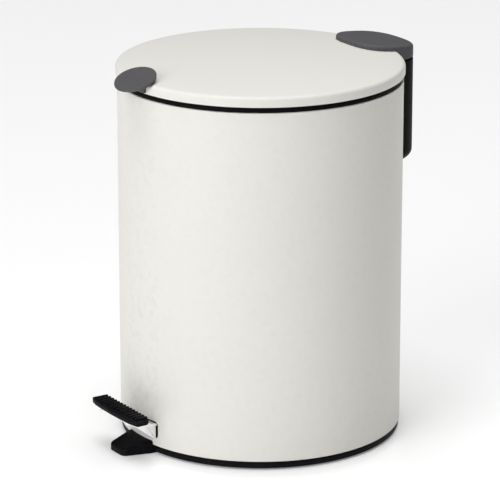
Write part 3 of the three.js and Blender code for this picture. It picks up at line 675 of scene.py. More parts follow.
    def keep(self, *others: "Solid") -> "Solid":
        """Keeps what lies in other solids too."""
        return self._combine(others, "INTERSECT")

    def bevel(self, width: float, segments: int = 3, angle: float = 40.0) -> "Solid":
        """Rounds the edges that are sharper than an angle.

        Args:
            width: Width of the rounding in millimetres.
            segments: Steps across it.
            angle: Least angle in degrees.

        Returns:
            This solid.
        """
        change = self.object.modifiers.new("bevel", "BEVEL")
        change.width = width
        change.segments = segments
        change.limit_method = "ANGLE"
        change.angle_limit = math.radians(angle)
        return self._apply()

    def copy(self) -> "Solid":
        """A copy of this solid."""
        return Solid(self.object.data.copy())

    def discard(self) -> None:
        """Removes the solid from the scene."""
        bpy.data.objects.remove(self.object)

    def _mark_wear(self) -> None:
        """Stores how much each point stands out, from 0 on flats to 1 on edges."""

        def mark(work: bmesh.types.BMesh) -> None:
            layer = work.verts.layers.float.new("wear")
            for point in work.verts:
                bends = [max(0.0, edge.calc_face_angle_signed(0.0)) for edge in point.link_edges]
                point[layer] = min(1.0, sum(bends) / FULL_BEND)

        self._edit(mark)

    def piece(self, name: str, rider: Rider, finish: Finish, *nodes: str, smooth: float = 32.0) -> None:
        """Finishes the solid as a piece of the bin.

        Args:
            name: Name of the piece.
            rider: Body that it moves with.
            finish: Its finish.
            *nodes: Nodes of the frame that it stands for.
            smooth: Least angle in degrees of an edge that stays sharp.
        """
        self._mark_wear()
        mesh = self.object.data
        mesh.transform(Matrix.Scale(MM, 4))
        mesh.shade_smooth()
        mesh.set_sharp_from_angle(angle=math.radians(smooth))
        mesh.materials.clear()
        mesh.materials.append(finish.material())
        mesh.name = name
        self.object.name = name
        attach(self.object, rider.value)
        if nodes:
            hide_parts(*nodes)
        log.info("%s: %d faces on %s", name, len(mesh.polygons), rider.value)


# ---- Geometry Nodes -----------------------------------------------------------------------------
class Pattern:
    """A Geometry Nodes tree with named inputs, run once and turned into a solid."""

    def __init__(self, name: str, **inputs: Any) -> None:
        """Makes the tree and its named inputs.

        Args:
            name: Name of the tree.
            **inputs: Value of each input; its type gives the socket's type.
        """
        self.tree = bpy.data.node_groups.new(name, "GeometryNodeTree")
        self.values: dict[str, Any] = {}
        for label, value in inputs.items():
            kind = self._socket_kind(value)
            socket = self.tree.interface.new_socket(name=label, in_out="INPUT", socket_type=kind)
            self.values[socket.identifier] = value
        self.tree.interface.new_socket(
            name="Geometry", in_out="OUTPUT", socket_type="NodeSocketGeometry"
        )
        self.entry = self.tree.nodes.new("NodeGroupInput")

    @staticmethod
    def _socket_kind(value: Any) -> str:
        """Type of socket that a value needs."""
        if isinstance(value, bpy.types.Object):
            return "NodeSocketObject"
        if isinstance(value, bpy.types.Material):
            return "NodeSocketMaterial"
        if isinstance(value, int):
            return "NodeSocketInt"
        return "NodeSocketFloat" if isinstance(value, float) else "NodeSocketVector"

    def size(self, label: str) -> bpy.types.NodeSocket:
        """A named input."""
        return self.entry.outputs[label]

    def node(
        self,
        kind: str,
        settings: dict[str, Any] | None = None,
        inputs: dict[int | str, Any] | None = None,
        output: int | str = 0,
    ) -> bpy.types.NodeSocket:
        """Adds a node.

        Args:
            kind: Type of the node.
            settings: Its properties.
            inputs: Numbers or sockets for its inputs.
            output: Socket to hand back.

        Returns:
            The chosen output.
        """
        made = self.tree.nodes.new(kind)
        for name, value in (settings or {}).items():
            setattr(made, name, value)
        for name, value in (inputs or {}).items():
            if isinstance(value, bpy.types.NodeSocket):
                self.tree.links.new(value, made.inputs[name])
            else:
                made.inputs[name].default_value = value
        return made.outputs[output]

    def grow(self, geometry: bpy.types.NodeSocket) -> Solid:
        """Runs the tree.

        Args:
            geometry: What the tree has made.

        Returns:
            A solid of the plain mesh.
        """
        real = self.node("GeometryNodeRealizeInstances", None, {"Geometry": geometry})
        inputs = {"Geometry": real, "Material": self.size("Material")}
        dressed = self.node("GeometryNodeSetMaterial", None, inputs)
        output = self.tree.nodes.new("NodeGroupOutput")
        self.tree.links.new(dressed, output.inputs[0])
        carrier = bpy.data.objects.new("carrier", bpy.data.meshes.new("carrier"))
        bpy.context.scene.collection.objects.link(carrier)
        modifier = carrier.modifiers.new("pattern", "NODES")
        modifier.node_group = self.tree
        for identifier, value in self.values.items():
            modifier[identifier] = value
        graph = bpy.context.evaluated_depsgraph_get()
        mesh = bpy.data.meshes.new_from_object(carrier.evaluated_get(graph))
        bpy.data.objects.remove(carrier)
        return Solid(mesh)


def row(unit: Solid, count: int, start: Sequence[float], offset: Sequence[float], finish: Finish) -> Solid:
    """Repeats a solid in a straight row.

    Args:
        unit: The solid; it is used up.
        count: Number of copies.
        start: Place of the first.
        offset: Step to the next.
        finish: Finish of the copies.

    Returns:
        All the copies.
    """
    pattern = Pattern(
        "row", Unit=unit.object, Count=count, Start=Vector(start), Offset=Vector(offset),
        Material=finish.material(),
    )
    sockets = {name: pattern.size(name) for name in ("Count", "Offset")}
    line = pattern.node("GeometryNodeMeshLine", None, {**sockets, "Start Location": pattern.size("Start")})
    shape = pattern.node("GeometryNodeObjectInfo", None, {"Object": pattern.size("Unit")}, "Geometry")
    made = pattern.node("GeometryNodeInstanceOnPoints", None, {"Points": line, "Instance": shape})
    grown = pattern.grow(made)
    unit.discard()
    return grown


def wheel(unit: Solid, count: int, first: float, finish: Finish) -> Solid:
    """Repeats a solid evenly about the upright axis.

    Args:
        unit: The solid where it would lie towards +X; it is used up.
        count: Number of copies.
        first: Angle of the first copy in degrees.
        finish: Finish of the copies.

    Returns:
        All the copies.
    """
    pattern = Pattern(
        "wheel", Unit=unit.object, Count=count, First=math.radians(first), Material=finish.material()
    )
    total = pattern.size("Count")
    points = pattern.node("GeometryNodeMeshLine", None, {"Count": total, "Offset": (0, 0, 0)})
    index = pattern.node("GeometryNodeInputIndex")
    share = pattern.node("ShaderNodeMath", {"operation": "DIVIDE"}, {0: index, 1: total})
    inputs = {0: share, 1: math.tau, 2: pattern.size("First")}
    turn = pattern.node("ShaderNodeMath", {"operation": "MULTIPLY_ADD"}, inputs)
    angles = pattern.node("ShaderNodeCombineXYZ", None, {"Z": turn})
    shape = pattern.node("GeometryNodeObjectInfo", None, {"Object": pattern.size("Unit")}, "Geometry")
    inputs = {"Points": points, "Instance": shape, "Rotation": angles}
    grown = pattern.grow(pattern.node("GeometryNodeInstanceOnPoints", None, inputs))
    unit.discard()
    return grown


def wire(path: Sequence[Vector], radius: float, finish: Finish, sides: int = 20) -> Solid:
    """Round wire along a smooth path.

    Args:
        path: Points that it passes through.
        radius: Its radius in millimetres.
        finish: Its finish.
        sides: Sides of its section.

    Returns:
        The wire, with closed ends.
    """
    mesh = bpy.data.meshes.new("path")
    mesh.from_pydata(path, [(i, i + 1) for i in range(len(path) - 1)], [])
    guide = bpy.data.objects.new("path", mesh)
    bpy.context.scene.collection.objects.link(guide)
    pattern = Pattern("wire", Path=guide, Radius=radius, Sides=sides, Material=finish.material())
    line = pattern.node("GeometryNodeObjectInfo", None, {"Object": pattern.size("Path")}, "Geometry")
    curve = pattern.node("GeometryNodeMeshToCurve", None, {"Mesh": line})
    smooth = pattern.node("GeometryNodeCurveSplineType", {"spline_type": "CATMULL_ROM"}, {"Curve": curve})
    inputs = {"Resolution": pattern.size("Sides"), "Radius": pattern.size("Radius")}
    section = pattern.node("GeometryNodeCurvePrimitiveCircle", None, inputs)
    inputs = {"Curve": smooth, "Profile Curve": section, "Fill Caps": True}
    grown = pattern.grow(pattern.node("GeometryNodeCurveToMesh", None, inputs))
    bpy.data.objects.remove(guide)
    return grown


def pan_screw(shank: float, length: float, head: float, rise: float) -> Solid:
    """Pan head screw that points up from its head, with a cross recess.

    Args:
        shank: Radius of the shank.
        length: Length of the shank above the head.
        head: Radius of the head.
        rise: Height of the head.

    Returns:
        The screw, with the upper side of its head at zero.
    """
    outline = [(0.0, length), *fillet([(shank, length, 0.3), (shank, 0.0, 0.1), (head, 0.0, 0.2)])[:-1]]
    dome = [(head * math.cos(a), -rise * math.sin(a)) for a in (0.35, 0.6, 0.9, 1.2, 1.45)]
    screw = Solid.lathe([*outline, (head, -0.3 * rise), *dome, (0.0, -rise)], FEW_SIDES)
    arm, deep = 0.58 * head, 0.55 * rise
    for half, wide in ((arm, 0.16 * head), (0.16 * head, arm)):
        screw.cut(Solid.block((-half, -wide, -rise - 1), (half, wide, -rise + deep)))
    return screw


def screw_pair(node: str, shank: float, head: float, rise: float) -> Solid:
    """An upright pan head screw in the place of a node of the frame, and its mirror image.

    Args:
        node: The node on the +X side.
        shank: Radius of the shank.
        head: Radius of the head.
        rise: Height of the head.

    Returns:
        Both screws.
    """
    low, high = span(node)
    place = middle(node)
    screw = pan_screw(shank, high.z - low.z - rise, head, rise)
    return row(screw, 2, (-place.x, place.y, low.z + rise), (2 * place.x, 0, 0), STEEL)


def twin_bars(plane: Plane, node: str, radius: float, low: float, high: float) -> list[Solid]:
    """Bars across a plane, through a node of the frame and through its mirror image."""
    place = middle(node)
    level = place.z if plane is Plane.FRONT else place.y
    return [Solid.bar(plane, (x, level), radius, low, high) for x in (-place.x, place.x)]


# ---- Sub-assemblies -----------------------------------------------------------------------------
@dataclass
class SteelBody:
    """Painted tube of the body, with its rolled edges and its pedal slot."""

    sheet: float = 0.8
    lip: float = 1.6
    roll: float = 0.7
    slot_side: float = 1.0
    slot_low: float = 12.2
    slot_high: float = 24.8
    slot_corner: float = 3.0
    notch_side: float = 0.9
    notch_under: float = 4.5
    radius: float = field(init=False)
    low: float = field(init=False)
    high: float = field(init=False)

    def __post_init__(self) -> None:
        """Reads the size of the tube from the frame."""
        low, high = span("body_shell")
        self.radius, self.low, self.high = high.x, low.z, high.z

    def outline(self) -> list[Point]:
        """Section of the wall and its two inward lips."""
        lip, inner = self.radius - self.lip, self.radius - self.sheet
        return fillet([
            (lip, self.low, 0.2),
            (self.radius, self.low, self.roll),
            (self.radius, self.high, self.roll),
            (lip, self.high, 0.2),
            (lip, self.high - self.sheet, 0.2),
            (inner, self.high - self.sheet, 0.0),
            (inner, self.low + self.sheet, 0.0),
            (lip, self.low + self.sheet, 0.2),
        ])

    def slot(self) -> Solid:
        """Cutter of the pedal's slot."""
        half = span("pedal_arm")[1].x + self.slot_side
        round_ = self.slot_corner
        outline = fillet([
            (-half, self.slot_low, round_),
            (half, self.slot_low, round_),
            (half, self.slot_high, round_),
            (-half, self.slot_high, round_),
        ])
        return Solid.prism(outline, Plane.FRONT, -self.radius - PAST, -self.radius + 3 * PAST)

    def notch(self) -> Solid:
        """Cutter of the way that the hinge arm takes through the rear wall."""
        half = span("push_rod")[1].x + self.notch_side
        foot = middle("lift_pin").z - self.notch_under
        back, top = self.radius + PAST, self.high + PAST
        return Solid.block((-half, self.radius - 2 * PAST, foot), (half, back, top))

    def build(self) -> None:
        """Builds and dresses the tube."""
        inside, outside = self.radius - 2 * PAST, self.radius + PAST
        holes = twin_bars(Plane.FRONT, "housing_screw_right", WALL_HOLE, inside, outside)
        tube = Solid.lathe(self.outline()).cut(self.slot(), self.notch(), *holes)
        tube.piece("steel_body", Rider.ROOT, PAINT, "body_shell")


@dataclass
class BaseTub:
    """Black base with its spigot, the bump under the pedal, and the lever's two posts."""

    top: float = 6.0
    spigot: float = 100.6
    spigot_rise: float = 3.2
    wall: float = 2.5
    floor: float = 2.5
    bump_wide: float = 15.0
    bump_narrow: float = 9.6
    bump_front: float = 5.0
    bump_back: float = 9.4
    post_side: float = 1.3
    post_wall: float = 4.0
    post_foot: float = 9.0
    post_head: float = 5.5
    pad_ring: float = 86.0
    pad_sides: int = 48
    pad_grooves: tuple[float, ...] = (1.6, 3.2, 4.8)
    groove: float = 0.3  # half width of a groove
    groove_depth: float = 0.25
    pocket: float = 7.3
    pocket_depth: float = 1.5
    seam: float = 0.35
    seams: tuple[float, ...] = (-54.0, -8.5, 171.5, 234.0)

    def tub(self) -> Solid:
        """Dish with the spigot that stands in the body."""
        radius = span("base_moulding")[1].x
        rise, inner = self.top + self.spigot_rise, self.spigot - self.wall
        corners = fillet([
            (radius, 0.0, 1.1),
            (radius, self.top, 0.5),
            (self.spigot, self.top, 0.0),
            (self.spigot, rise, 0.5),
            (inner, rise, 0.5),
            (inner, self.floor, 0.8),
        ])
        seams = [self._seam(math.radians(angle), radius) for angle in self.seams]
        return Solid.lathe([(0.0, 0.0), *corners, (0.0, self.floor)]).cut(*seams)

    def _seam(self, angle: float, radius: float) -> Solid:
        """Cutter of a fine upright parting line at an angle."""
        cos, sin = math.cos(angle), math.sin(angle)
        half, inner, outer = self.seam / 2, radius - self.seam, radius + 1
        corners = [(inner, -half), (outer, -half), (outer, half), (inner, half)]
        outline = [(x * cos - y * sin, x * sin + y * cos) for x, y in corners]
        return Solid.prism(outline, Plane.LEVEL, -1.0, self.top + 1)

    def bump(self, wall: float) -> Solid:
        """Sloping foot bump in front of the body.

        Args:
            wall: Radius of the body.

        Returns:
            The bump, cut back from the body.
        """
        front = span("base_moulding")[0].y
        outline = fillet([
            (-self.bump_wide - 0.5, -wall + 6, 0.0),
            (-self.bump_wide, -wall - 1, 6.0),
            (-self.bump_narrow, front, 5.0),
            (self.bump_narrow, front, 5.0),
            (self.bump_wide, -wall - 1, 6.0),
            (self.bump_wide + 0.5, -wall + 6, 0.0),
        ])
        slope = (self.bump_back - self.bump_front) / (-wall - front)

        def top(_: float, y: float) -> float:
            return min(self.bump_back, self.bump_front + slope * (y - front))

        body = Solid.drum(wall + GAP, self.top, FAR)
        return Solid.slab(outline, lambda _x, _y: 0.0, top, 0.4, 1.3).cut(body)

    def posts(self) -> list[Solid]:
        """Two posts that hold the lever's pivot pin."""
        pin, half = middle("pivot_pin"), span("pedal_lever")[1].x
        foot = self.floor - 1
        profile = fillet([
            (pin.y - self.post_foot, foot, 0.0),
            (pin.y + self.post_foot, foot, 0.0),
            (pin.y + self.post_head, pin.z + self.post_head, 3.0),
            (pin.y - self.post_head, pin.z + self.post_head, 3.0),
        ])
        near = half + self.post_side
        far = near + self.post_wall
        return [Solid.prism(profile, Plane.SIDE, *sorted((s * near, s * far))) for s in (-1, 1)]

    def pads(self) -> Solid:
        """Four rubber pads with a ringed underside."""
        low, high = span("foot_pad_1")
        radius = (high.x - low.x) / 2
        outline = [(0.0, 0.0)]
        for ring in self.pad_grooves:
            half = self.groove
            outline += [(ring - half, 0.0), (ring, self.groove_depth), (ring + half, 0.0)]
        outline += fillet([(radius, 0.0, 0.25), (radius, high.z, 0.2), (radius - 2, high.z, 0.0)])
        pad = Solid.lathe([*outline, (0.0, high.z)], self.pad_sides, (self.pad_ring, 0.0))
        return wheel(pad, 4, 45.0, RUBBER)

    def build(self, body: SteelBody) -> None:
        """Builds and dresses the base and its pads.

        Args:
            body: The tube that stands on it.
        """
        pin = middle("pivot_pin")
        place = (self.pad_ring, 0.0)
        pocket = Solid.drum(self.pocket, -1.0, self.pocket_depth, self.pad_sides, place)
        bore = Solid.bar(Plane.SIDE, (pin.y, pin.z), PIN_BORE, -FAR / 2, FAR / 2)
        tub = self.tub().add(self.bump(body.radius), *self.posts())
        tub.cut(bore, wheel(pocket, 4, 45.0, BLACK))
        tub.piece("base_tub", Rider.ROOT, BLACK, "base_moulding")
        names = [f"foot_pad_{number}" for number in (1, 2, 3, 4)]
        self.pads().piece("rubber_pads", Rider.ROOT, RUBBER, *names)


@dataclass
class RimRing:
    """Black ring between body and lid, with a fine ledge half way up its band."""

    spigot: float = 100.6
    spigot_fall: float = 10.0
    wall: float = 2.0
    bore: float = 87.0
    recess: float = 91.7
    shelf: float = 262.2
    ledge: float = 0.45
    slot_front: float = 91.2

    def build(self, body: SteelBody) -> None:
        """Builds and dresses the ring.

        Args:
            body: The tube that it stands in.
        """
        high = span("rim_ring")[1]
        band, seat = (body.high + high.z) / 2, body.high + GAP
        foot, under = body.high - self.spigot_fall, self.shelf - self.wall
        inner = self.spigot - self.wall
        outline = fillet([
            (self.bore, under, 0.3),
            (inner, under, 0.0),
            (inner, foot, 0.4),
            (self.spigot, foot, 0.4),
            (self.spigot, seat, 0.0),
            (high.x, seat, 0.2),
            (high.x, band, 0.15),
            (high.x - self.ledge, band + 0.1, 0.0),
            (high.x - self.ledge, high.z, 0.5),
            (self.recess, high.z, 0.4),
            (self.recess, self.shelf, 0.0),
            (self.bore, self.shelf, 0.3),
        ])
        half = span("push_rod")[1].x + body.notch_side
        low = (-half, self.slot_front, body.high - FAR / 2)
        slot = Solid.block(low, (half, body.radius + PAST, body.high + 2 * PAST))
        Solid.lathe(outline).cut(slot).piece("rim_band", Rider.ROOT, BLACK, "rim_ring")


@dataclass
class Bucket:
    """Inner bucket with its rolled flange, and the wire bail with its grip."""

    wall: float = 1.6
    taper: float = 6.0
    flange: float = 5.2
    flange_edge: float = 2.0
    wire: float = 1.3
    grip: float = 3.1
    bow_inset: float = 6.0
    grip_reach: float = 0.21
    bow_start: float = 0.13  # radians from +X to where the bow begins
    bow_steps: int = 24

    def pot(self) -> Solid:
        """Bucket with a stepped foot and holes for the bail."""
        low, high = span("inner_bucket")
        rim, top = high.x, high.z
        side = rim - self.flange
        foot, under = side - self.taper, top - self.flange_edge
        outline = fillet([
            (foot - 6, low.z, 0.6),
            (foot, low.z, 2.5),
            (side, under, 0.5),
            (rim, under, 0.4),
            (rim, top, 0.9),
            (side - self.wall, top, 1.0),
            (foot - self.wall, low.z + self.wall, 3.0),
        ])
        pot = Solid.lathe([(0, low.z), *outline, (0, low.z + self.wall)])
        place = (0.0, middle("bucket_bail").z)
        return pot.cut(Solid.bar(Plane.SIDE, place, self.wire + GAP, -rim - PAST, rim + PAST))

    def bow(self, angle: float) -> Vector:
        """Point of the bail's bow at an angle from +X."""
        side = span("inner_bucket")[1].x - self.flange
        radius = side - self.bow_inset
        return Vector((radius * math.cos(angle), radius * math.sin(angle), middle("bucket_bail").z))

    def bail(self) -> Solid:
        """Wire that lies inside the bucket's mouth, with its ends in the wall."""
        reach, level = span("bucket_bail")[1].x, middle("bucket_bail").z
        radius = self.bow(0.0).x
        start, count = self.bow_start, self.bow_steps
        ends = [Vector((x, y, level)) for x, y in ((reach, 0), (radius + 2.2, 0), (radius + 0.4, 2.5))]
        others = [Vector((-end.x, end.y, end.z)) for end in reversed(ends)]
        bow = [self.bow(start + (math.pi - 2 * start) * i / count) for i in range(count + 1)]
        return wire([*ends, *bow, *others], self.wire, STEEL)

    def grip_sleeve(self) -> Solid:
        """Sleeve round the middle of the bail."""
        shares = [-1, -0.75, -0.5, -0.25, 0, 0.25, 0.5, 0.75, 1]
        path = [self.bow(math.pi / 2 - self.grip_reach * share) for share in shares]
        bore = [self.bow(math.pi / 2 - 1.2 * self.grip_reach * share) for share in shares]
        sleeve = wire(path, self.grip, BLACK, 40).cut(wire(bore, self.wire + GAP, BLACK))
        return sleeve.bevel(0.5, 3, 60.0)

    def build(self) -> None:
        """Builds and dresses the bucket, the bail and its grip."""
        self.pot().piece("waste_bucket", Rider.ROOT, BUCKET, "inner_bucket")
        self.bail().piece("wire_bail", Rider.BAIL, STEEL, "bucket_bail")
        self.grip_sleeve().piece("bail_sleeve", Rider.BAIL, BLACK, "bail_grip")


@dataclass
class RearShape:
    """Outline that the hinge cap and the hinge housing share."""

    powers: Point = (2.7, 2.5)
    widest_in: float = 2.0

    def outline(self, body: SteelBody) -> list[Point]:
        """The outline seen from above.

        Args:
            body: The tube that it stands behind.

        Returns:
            The points, counter-clockwise.
        """
        low, high = span("hinge_cap")
        mid = body.radius - self.widest_in
        return oval(mid, high.x, mid - low.y, high.y - mid, self.powers)


@dataclass
class Housing:
    """Hinge housing behind the body, with the webs that hold the hinge pin, and its screws."""

    wall: float = 2.0
    foot: float = 11.0
    top_round: float = 1.2
    web_x: float = 9.5
    web: float = 3.0
    web_head: float = 5.5
    web_foot: float = 14.0
    web_tail: float = 24.0
    boss: float = 4.5
    seat_reach: float = 20.0

    def shell(self, body: SteelBody, shape: RearShape) -> Solid:
        """Outer shell with its rounded foot.

        Args:
            body: The tube that it stands against.
            shape: Its outline.

        Returns:
            The shell, hollow and open at the top.
        """
        low, high = span("hinge_housing")
        outline = shape.outline(body)
        reach = high.y - body.radius - 1
        rings = []
        for step in range(13):
            angle = math.radians(7.5 * step)
            level = low.z + self.foot * (1 - math.cos(angle))
            ring = drawn_in(outline, reach * (1 - math.sin(angle)))
            rings.append([(x, y, level) for x, y in ring])
        for step in range(7):
            angle = math.radians(15 * step)
            level = high.z - self.top_round * (1 - math.sin(angle))
            ring = drawn_in(outline, self.top_round * (1 - math.cos(angle)))
            rings.append([(x, y, level) for x, y in ring])
        inner = drawn_in(outline, self.wall)
        cavity = Solid.prism(inner, Plane.LEVEL, low.z + self.foot + self.wall, high.z + PAST)
        return Solid.loft(rings).cut(cavity)

    def webs(self) -> list[Solid]:
        """Two upright webs with the seat of the hinge pin."""
        pin, back = middle("hinge_pin"), span("hinge_housing")[1].y - self.wall / 2
        profile = fillet([
            (pin.y - self.web_head, pin.z - self.web_foot, 1.0),
            (back, pin.z - self.web_tail, 0.0),
            (back, pin.z + 4, 0.0),
            (pin.y + 5.0, pin.z + self.web_head, 1.0),
            (pin.y - self.web_head, pin.z + self.web_head, 5.0),
        ])
        half = self.web / 2
        return [
            Solid.prism(profile, Plane.SIDE, side * self.web_x - half, side * self.web_x + half)
            for side in (-1, 1)
        ]

    def screws(self) -> Solid:
        """The two screws from inside the body."""
        low, high = span("housing_screw_right")
        place = middle("housing_screw_right")
        screw = pan_screw(2.0, high.y - low.y - 2.6, 3.6, 2.2)
        turn = Matrix.Rotation(-math.pi / 2, 4, "X")
        screw.object.data.transform(turn)
        start = (-place.x, low.y + 2.4, place.z)
        return row(screw, 2, start, (2 * place.x, 0, 0), STEEL)

    def build(self, body: SteelBody, shape: RearShape) -> None:
        """Builds and dresses the housing and its screws.

        Args:
            body: The tube that it stands against.
            shape: Its outline.
        """
        low, high = span("hinge_housing")
        pin, screw = middle("hinge_pin"), "housing_screw_right"
        tube = Solid.drum(body.radius + GAP, low.z - 2 * PAST, high.z + 2 * PAST)
        bosses = twin_bars(Plane.FRONT, screw, self.boss, body.radius - 2, high.y - 6)
        inside, outside = body.radius - 2 * PAST, body.radius + 2 * PAST
        bores = twin_bars(Plane.FRONT, screw, WALL_HOLE, inside, outside)
        seat = Solid.bar(Plane.SIDE, (pin.y, pin.z), PIN_BORE, -self.seat_reach, self.seat_reach)
        shell = self.shell(body, shape).add(*self.webs(), *bosses).cut(tube, seat, *bores)
        shell.piece("rear_housing", Rider.ROOT, BLACK, "hinge_housing")
        names = ("housing_screw_left", "housing_screw_right")
        self.screws().piece("housing_screws", Rider.ROOT, STEEL, *names)


@dataclass
class Lid:
    """Domed lid with its liner, buffers, front tab and hinge cap."""

    sheet: float = 0.8
    side: float = 7.0
    dome: float = 5.5
    edge: float = 2.8
    liner: float = 1.5
    liner_ribs: int = 12
    liner_rib_half: float = 0.6
    liner_rib_depth: float = 1.1
    rib_root: float = 0.4  # how far ribs and hub stand in the liner
    hub_inner: float = 22.0
    hub_outer: float = 24.6
    arm_side: float = 2.5  # clearance beside the hinge arm in the liner
    arm_front: float = 2.15
    button: float = 2.6
    button_high: float = 0.9
    button_stem: float = 1.2
    button_hole: float = 1.5
    tab_width: float = 18.5
    tab_length: float = 13.3
    tab_out: float = 0.4
    tab_rise: float = 9.4
    tab_slope: float = 0.41
    tab_thick: float = 2.6
    boss_width: float = 12.5
    boss_out: float = 2.2
    boss_high: float = 20.0
    cap_rise: float = 10.8
    cap_fall: float = 0.1
    cap_wall: float = 1.6
    cap_post: float = 3.4
    cap_blind: float = 1.2  # from the end of a screw hole to the end of its post
    dome_steps: int = 22
    radius: float = field(init=False)
    low: float = field(init=False)

    def __post_init__(self) -> None:
        """Reads the size of the lid from the frame."""
        low, high = span("lid_shell")
        self.radius, self.low = high.x, low.z

    def profile(self, inset: float) -> list[Point]:
        """Outer face of the lid, moved inwards, from its lower edge to its middle.

        Args:
            inset: How far it is moved in.

        Returns:
            Radii and heights.
        """
        rim, turn = self.low + self.side, self.radius - self.edge
        slope = 2 * self.dome * turn / self.radius**2
        tilt = math.atan(slope)
        meet = turn + self.edge * math.sin(tilt)
        crest = rim + self.dome * (1 - (meet / self.radius) ** 2)
        centre = (turn, crest - self.edge * math.cos(tilt))
        points = arc(centre, self.edge - inset, 0, 90 - math.degrees(tilt), 9)
        for step in range(1, self.dome_steps):
            radius = (meet - 1.0) * (1 - step / self.dome_steps)
            points.append((radius, rim - inset + self.dome * (1 - (radius / self.radius) ** 2)))
        points.append((0.0, rim - inset + self.dome))
        return points

    def envelope(self, gap: float) -> Solid:
        """Everything that the lid takes up, grown by a gap."""
        radius = self.radius + gap
        return Solid.lathe([(0.0, self.low - gap), (radius, self.low - gap), *self.profile(-gap)])

    def shell(self) -> Solid:
        """Steel sheet of the lid, with a rounded hem."""
        half = self.sheet / 2
        hem = arc((self.radius - half, self.low + half), half, 180, 360, 8)
        outline = [*reversed(self.profile(self.sheet)), *hem, *self.profile(0.0)]
        holes = twin_bars(Plane.LEVEL, "cap_screw_right", SCREW_HOLE, self.low, self.low + FAR / 3)
        return Solid.lathe(outline).cut(*holes)

    def liner_plate(self) -> Solid:
        """Moulded liner, with ribs under it and an opening for the hinge arm."""
        low, high = span("lid_liner")
        step_r = span("inner_bucket")[1].x
        ceiling, outer = high.z - self.liner, high.x
        corners = fillet([
            (step_r - 0.2, ceiling, 1.0),
            (step_r + 1.3, low.z, 0.5),
            (outer, low.z, 0.4),
            (outer, low.z + self.liner, 0.3),
            (step_r + 2.7, low.z + self.liner, 0.5),
            (step_r + 0.9, high.z, 0.5),
        ])
        plate = Solid.lathe([(0.0, ceiling), *corners, (0.0, high.z)])
        depth, root = ceiling - self.liner_rib_depth, ceiling + self.rib_root
        near, far, half = self.hub_inner, self.hub_outer, self.liner_rib_half
        rib = Solid.block((near + 2, -half, depth), (step_r - 4, half, root))
        hub = fillet([(near, depth, 0.3), (far, depth, 0.3), (far, root, 0), (near, root, 0)])
        plate.add(Solid.lathe(hub), wheel(rib, self.liner_ribs, 15.0, BUCKET))
        arm = span("hinge_arm")
        half, front = arm[1].x + self.arm_side, arm[0].y - self.arm_front
        bottom, top = low.z - PAST, high.z + PAST
        plate.cut(Solid.block((-half, front, bottom), (half, outer + PAST, top)))
        for number in (1, 2, 3, 4):
            place = middle(f"lid_buffer_{number}")
            plate.cut(Solid.bar(Plane.LEVEL, (place.x, place.y), self.button_hole, bottom, top))
        return plate

    def buffers(self) -> list[Solid]:
        """Rubber buttons with a rounded head and a stem."""
        made = []
        for number in (1, 2, 3, 4):
            low, high = span(f"lid_buffer_{number}")
            place = middle(f"lid_buffer_{number}")
            neck, wide, thin = low.z + self.button_high, self.button, self.button_stem
            head = fillet([(wide, low.z, 0.5), (wide, neck, 0.1), (thin, neck, 0), (thin, high.z, 0.4)])
            made.append(Solid.lathe([(0, low.z), *head, (0, high.z)], FEW_SIDES, (place.x, place.y)))
        return made

    def tab(self) -> Solid:
        """Oval thumb tab that slopes down to the front, with its boss."""
        centre, radius = -self.radius - self.tab_out, self.radius

        def top(_: float, y: float) -> float:
            return self.low + self.tab_rise + self.tab_slope * (y - centre)

        def under(x: float, y: float) -> float:
            return top(x, y) - self.tab_thick

        outline = oval(centre, self.tab_width, self.tab_length, self.tab_length)
        plate = Solid.slab(outline, under, top, 0.9, 0.9)
        front, back, foot = -radius - 2.4, -radius + 8, self.low + 0.8
        side = [(front, foot), (back, foot), (back, top(0, back) - 1.2), (front, top(0, front) - 1.2)]
        boss = Solid.prism(side, Plane.SIDE, -self.boss_width, self.boss_width)
        boss.keep(Solid.drum(radius + self.boss_out, self.low, self.low + self.boss_high))
        boss.bevel(0.6, 3)
        return plate.add(boss).cut(self.envelope(GAP))

    def cap(self, body: SteelBody, shape: RearShape) -> Solid:
        """Hinge cap that lies on the lid and reaches over the housing.

        Args:
            body: The tube behind which it ends.
            shape: Its outline.

        Returns:
            The cap, hollow underneath.
        """
        outline = shape.outline(body)
        mid, screw = body.radius - shape.widest_in, "cap_screw_right"

        def top(_: float, y: float) -> float:
            return self.low + self.cap_rise - self.cap_fall * (y - mid)

        def roof(x: float, y: float) -> float:
            return top(x, y) - self.cap_wall

        outer = Solid.slab(outline, lambda _x, _y: self.low, top, 0.4, 2.2)
        inner = drawn_in(outline, self.cap_wall)
        outer.cut(Solid.slab(inner, lambda _x, _y: self.low - 5, roof, 0.0, 1.5))
        head = self.low + self.cap_rise - 1
        outer.add(*twin_bars(Plane.LEVEL, screw, self.cap_post, self.low, head))
        outer.cut(*twin_bars(Plane.LEVEL, screw, SCREW_HOLE, self.low - 1, head - self.cap_blind))
        return outer.cut(self.envelope(GAP))

    def screws(self) -> Solid:
        """The two screws that clamp arm, lid and cap."""
        return screw_pair("cap_screw_right", 1.5, 2.9, 1.6)

    def build(self, body: SteelBody, shape: RearShape) -> None:
        """Builds and dresses everything that is fixed to the lid.

        Args:
            body: The tube under it.
            shape: Outline of the cap.
        """
        self.shell().piece("lid_dome", Rider.LID, PAINT, "lid_shell")
        self.liner_plate().piece("lid_inner", Rider.LID, BUCKET, "lid_liner")
        for number, buffer in enumerate(self.buffers(), 1):
            buffer.piece(f"rubber_button_{number}", Rider.LID, RUBBER, f"lid_buffer_{number}")
        self.tab().piece("thumb_tab", Rider.LID, CHARCOAL, "front_tab")
        self.cap(body, shape).piece("rear_cap", Rider.LID, CHARCOAL, "hinge_cap")
        names = ("cap_screw_left", "cap_screw_right")
        self.screws().piece("cap_screws", Rider.LID, STEEL, *names)


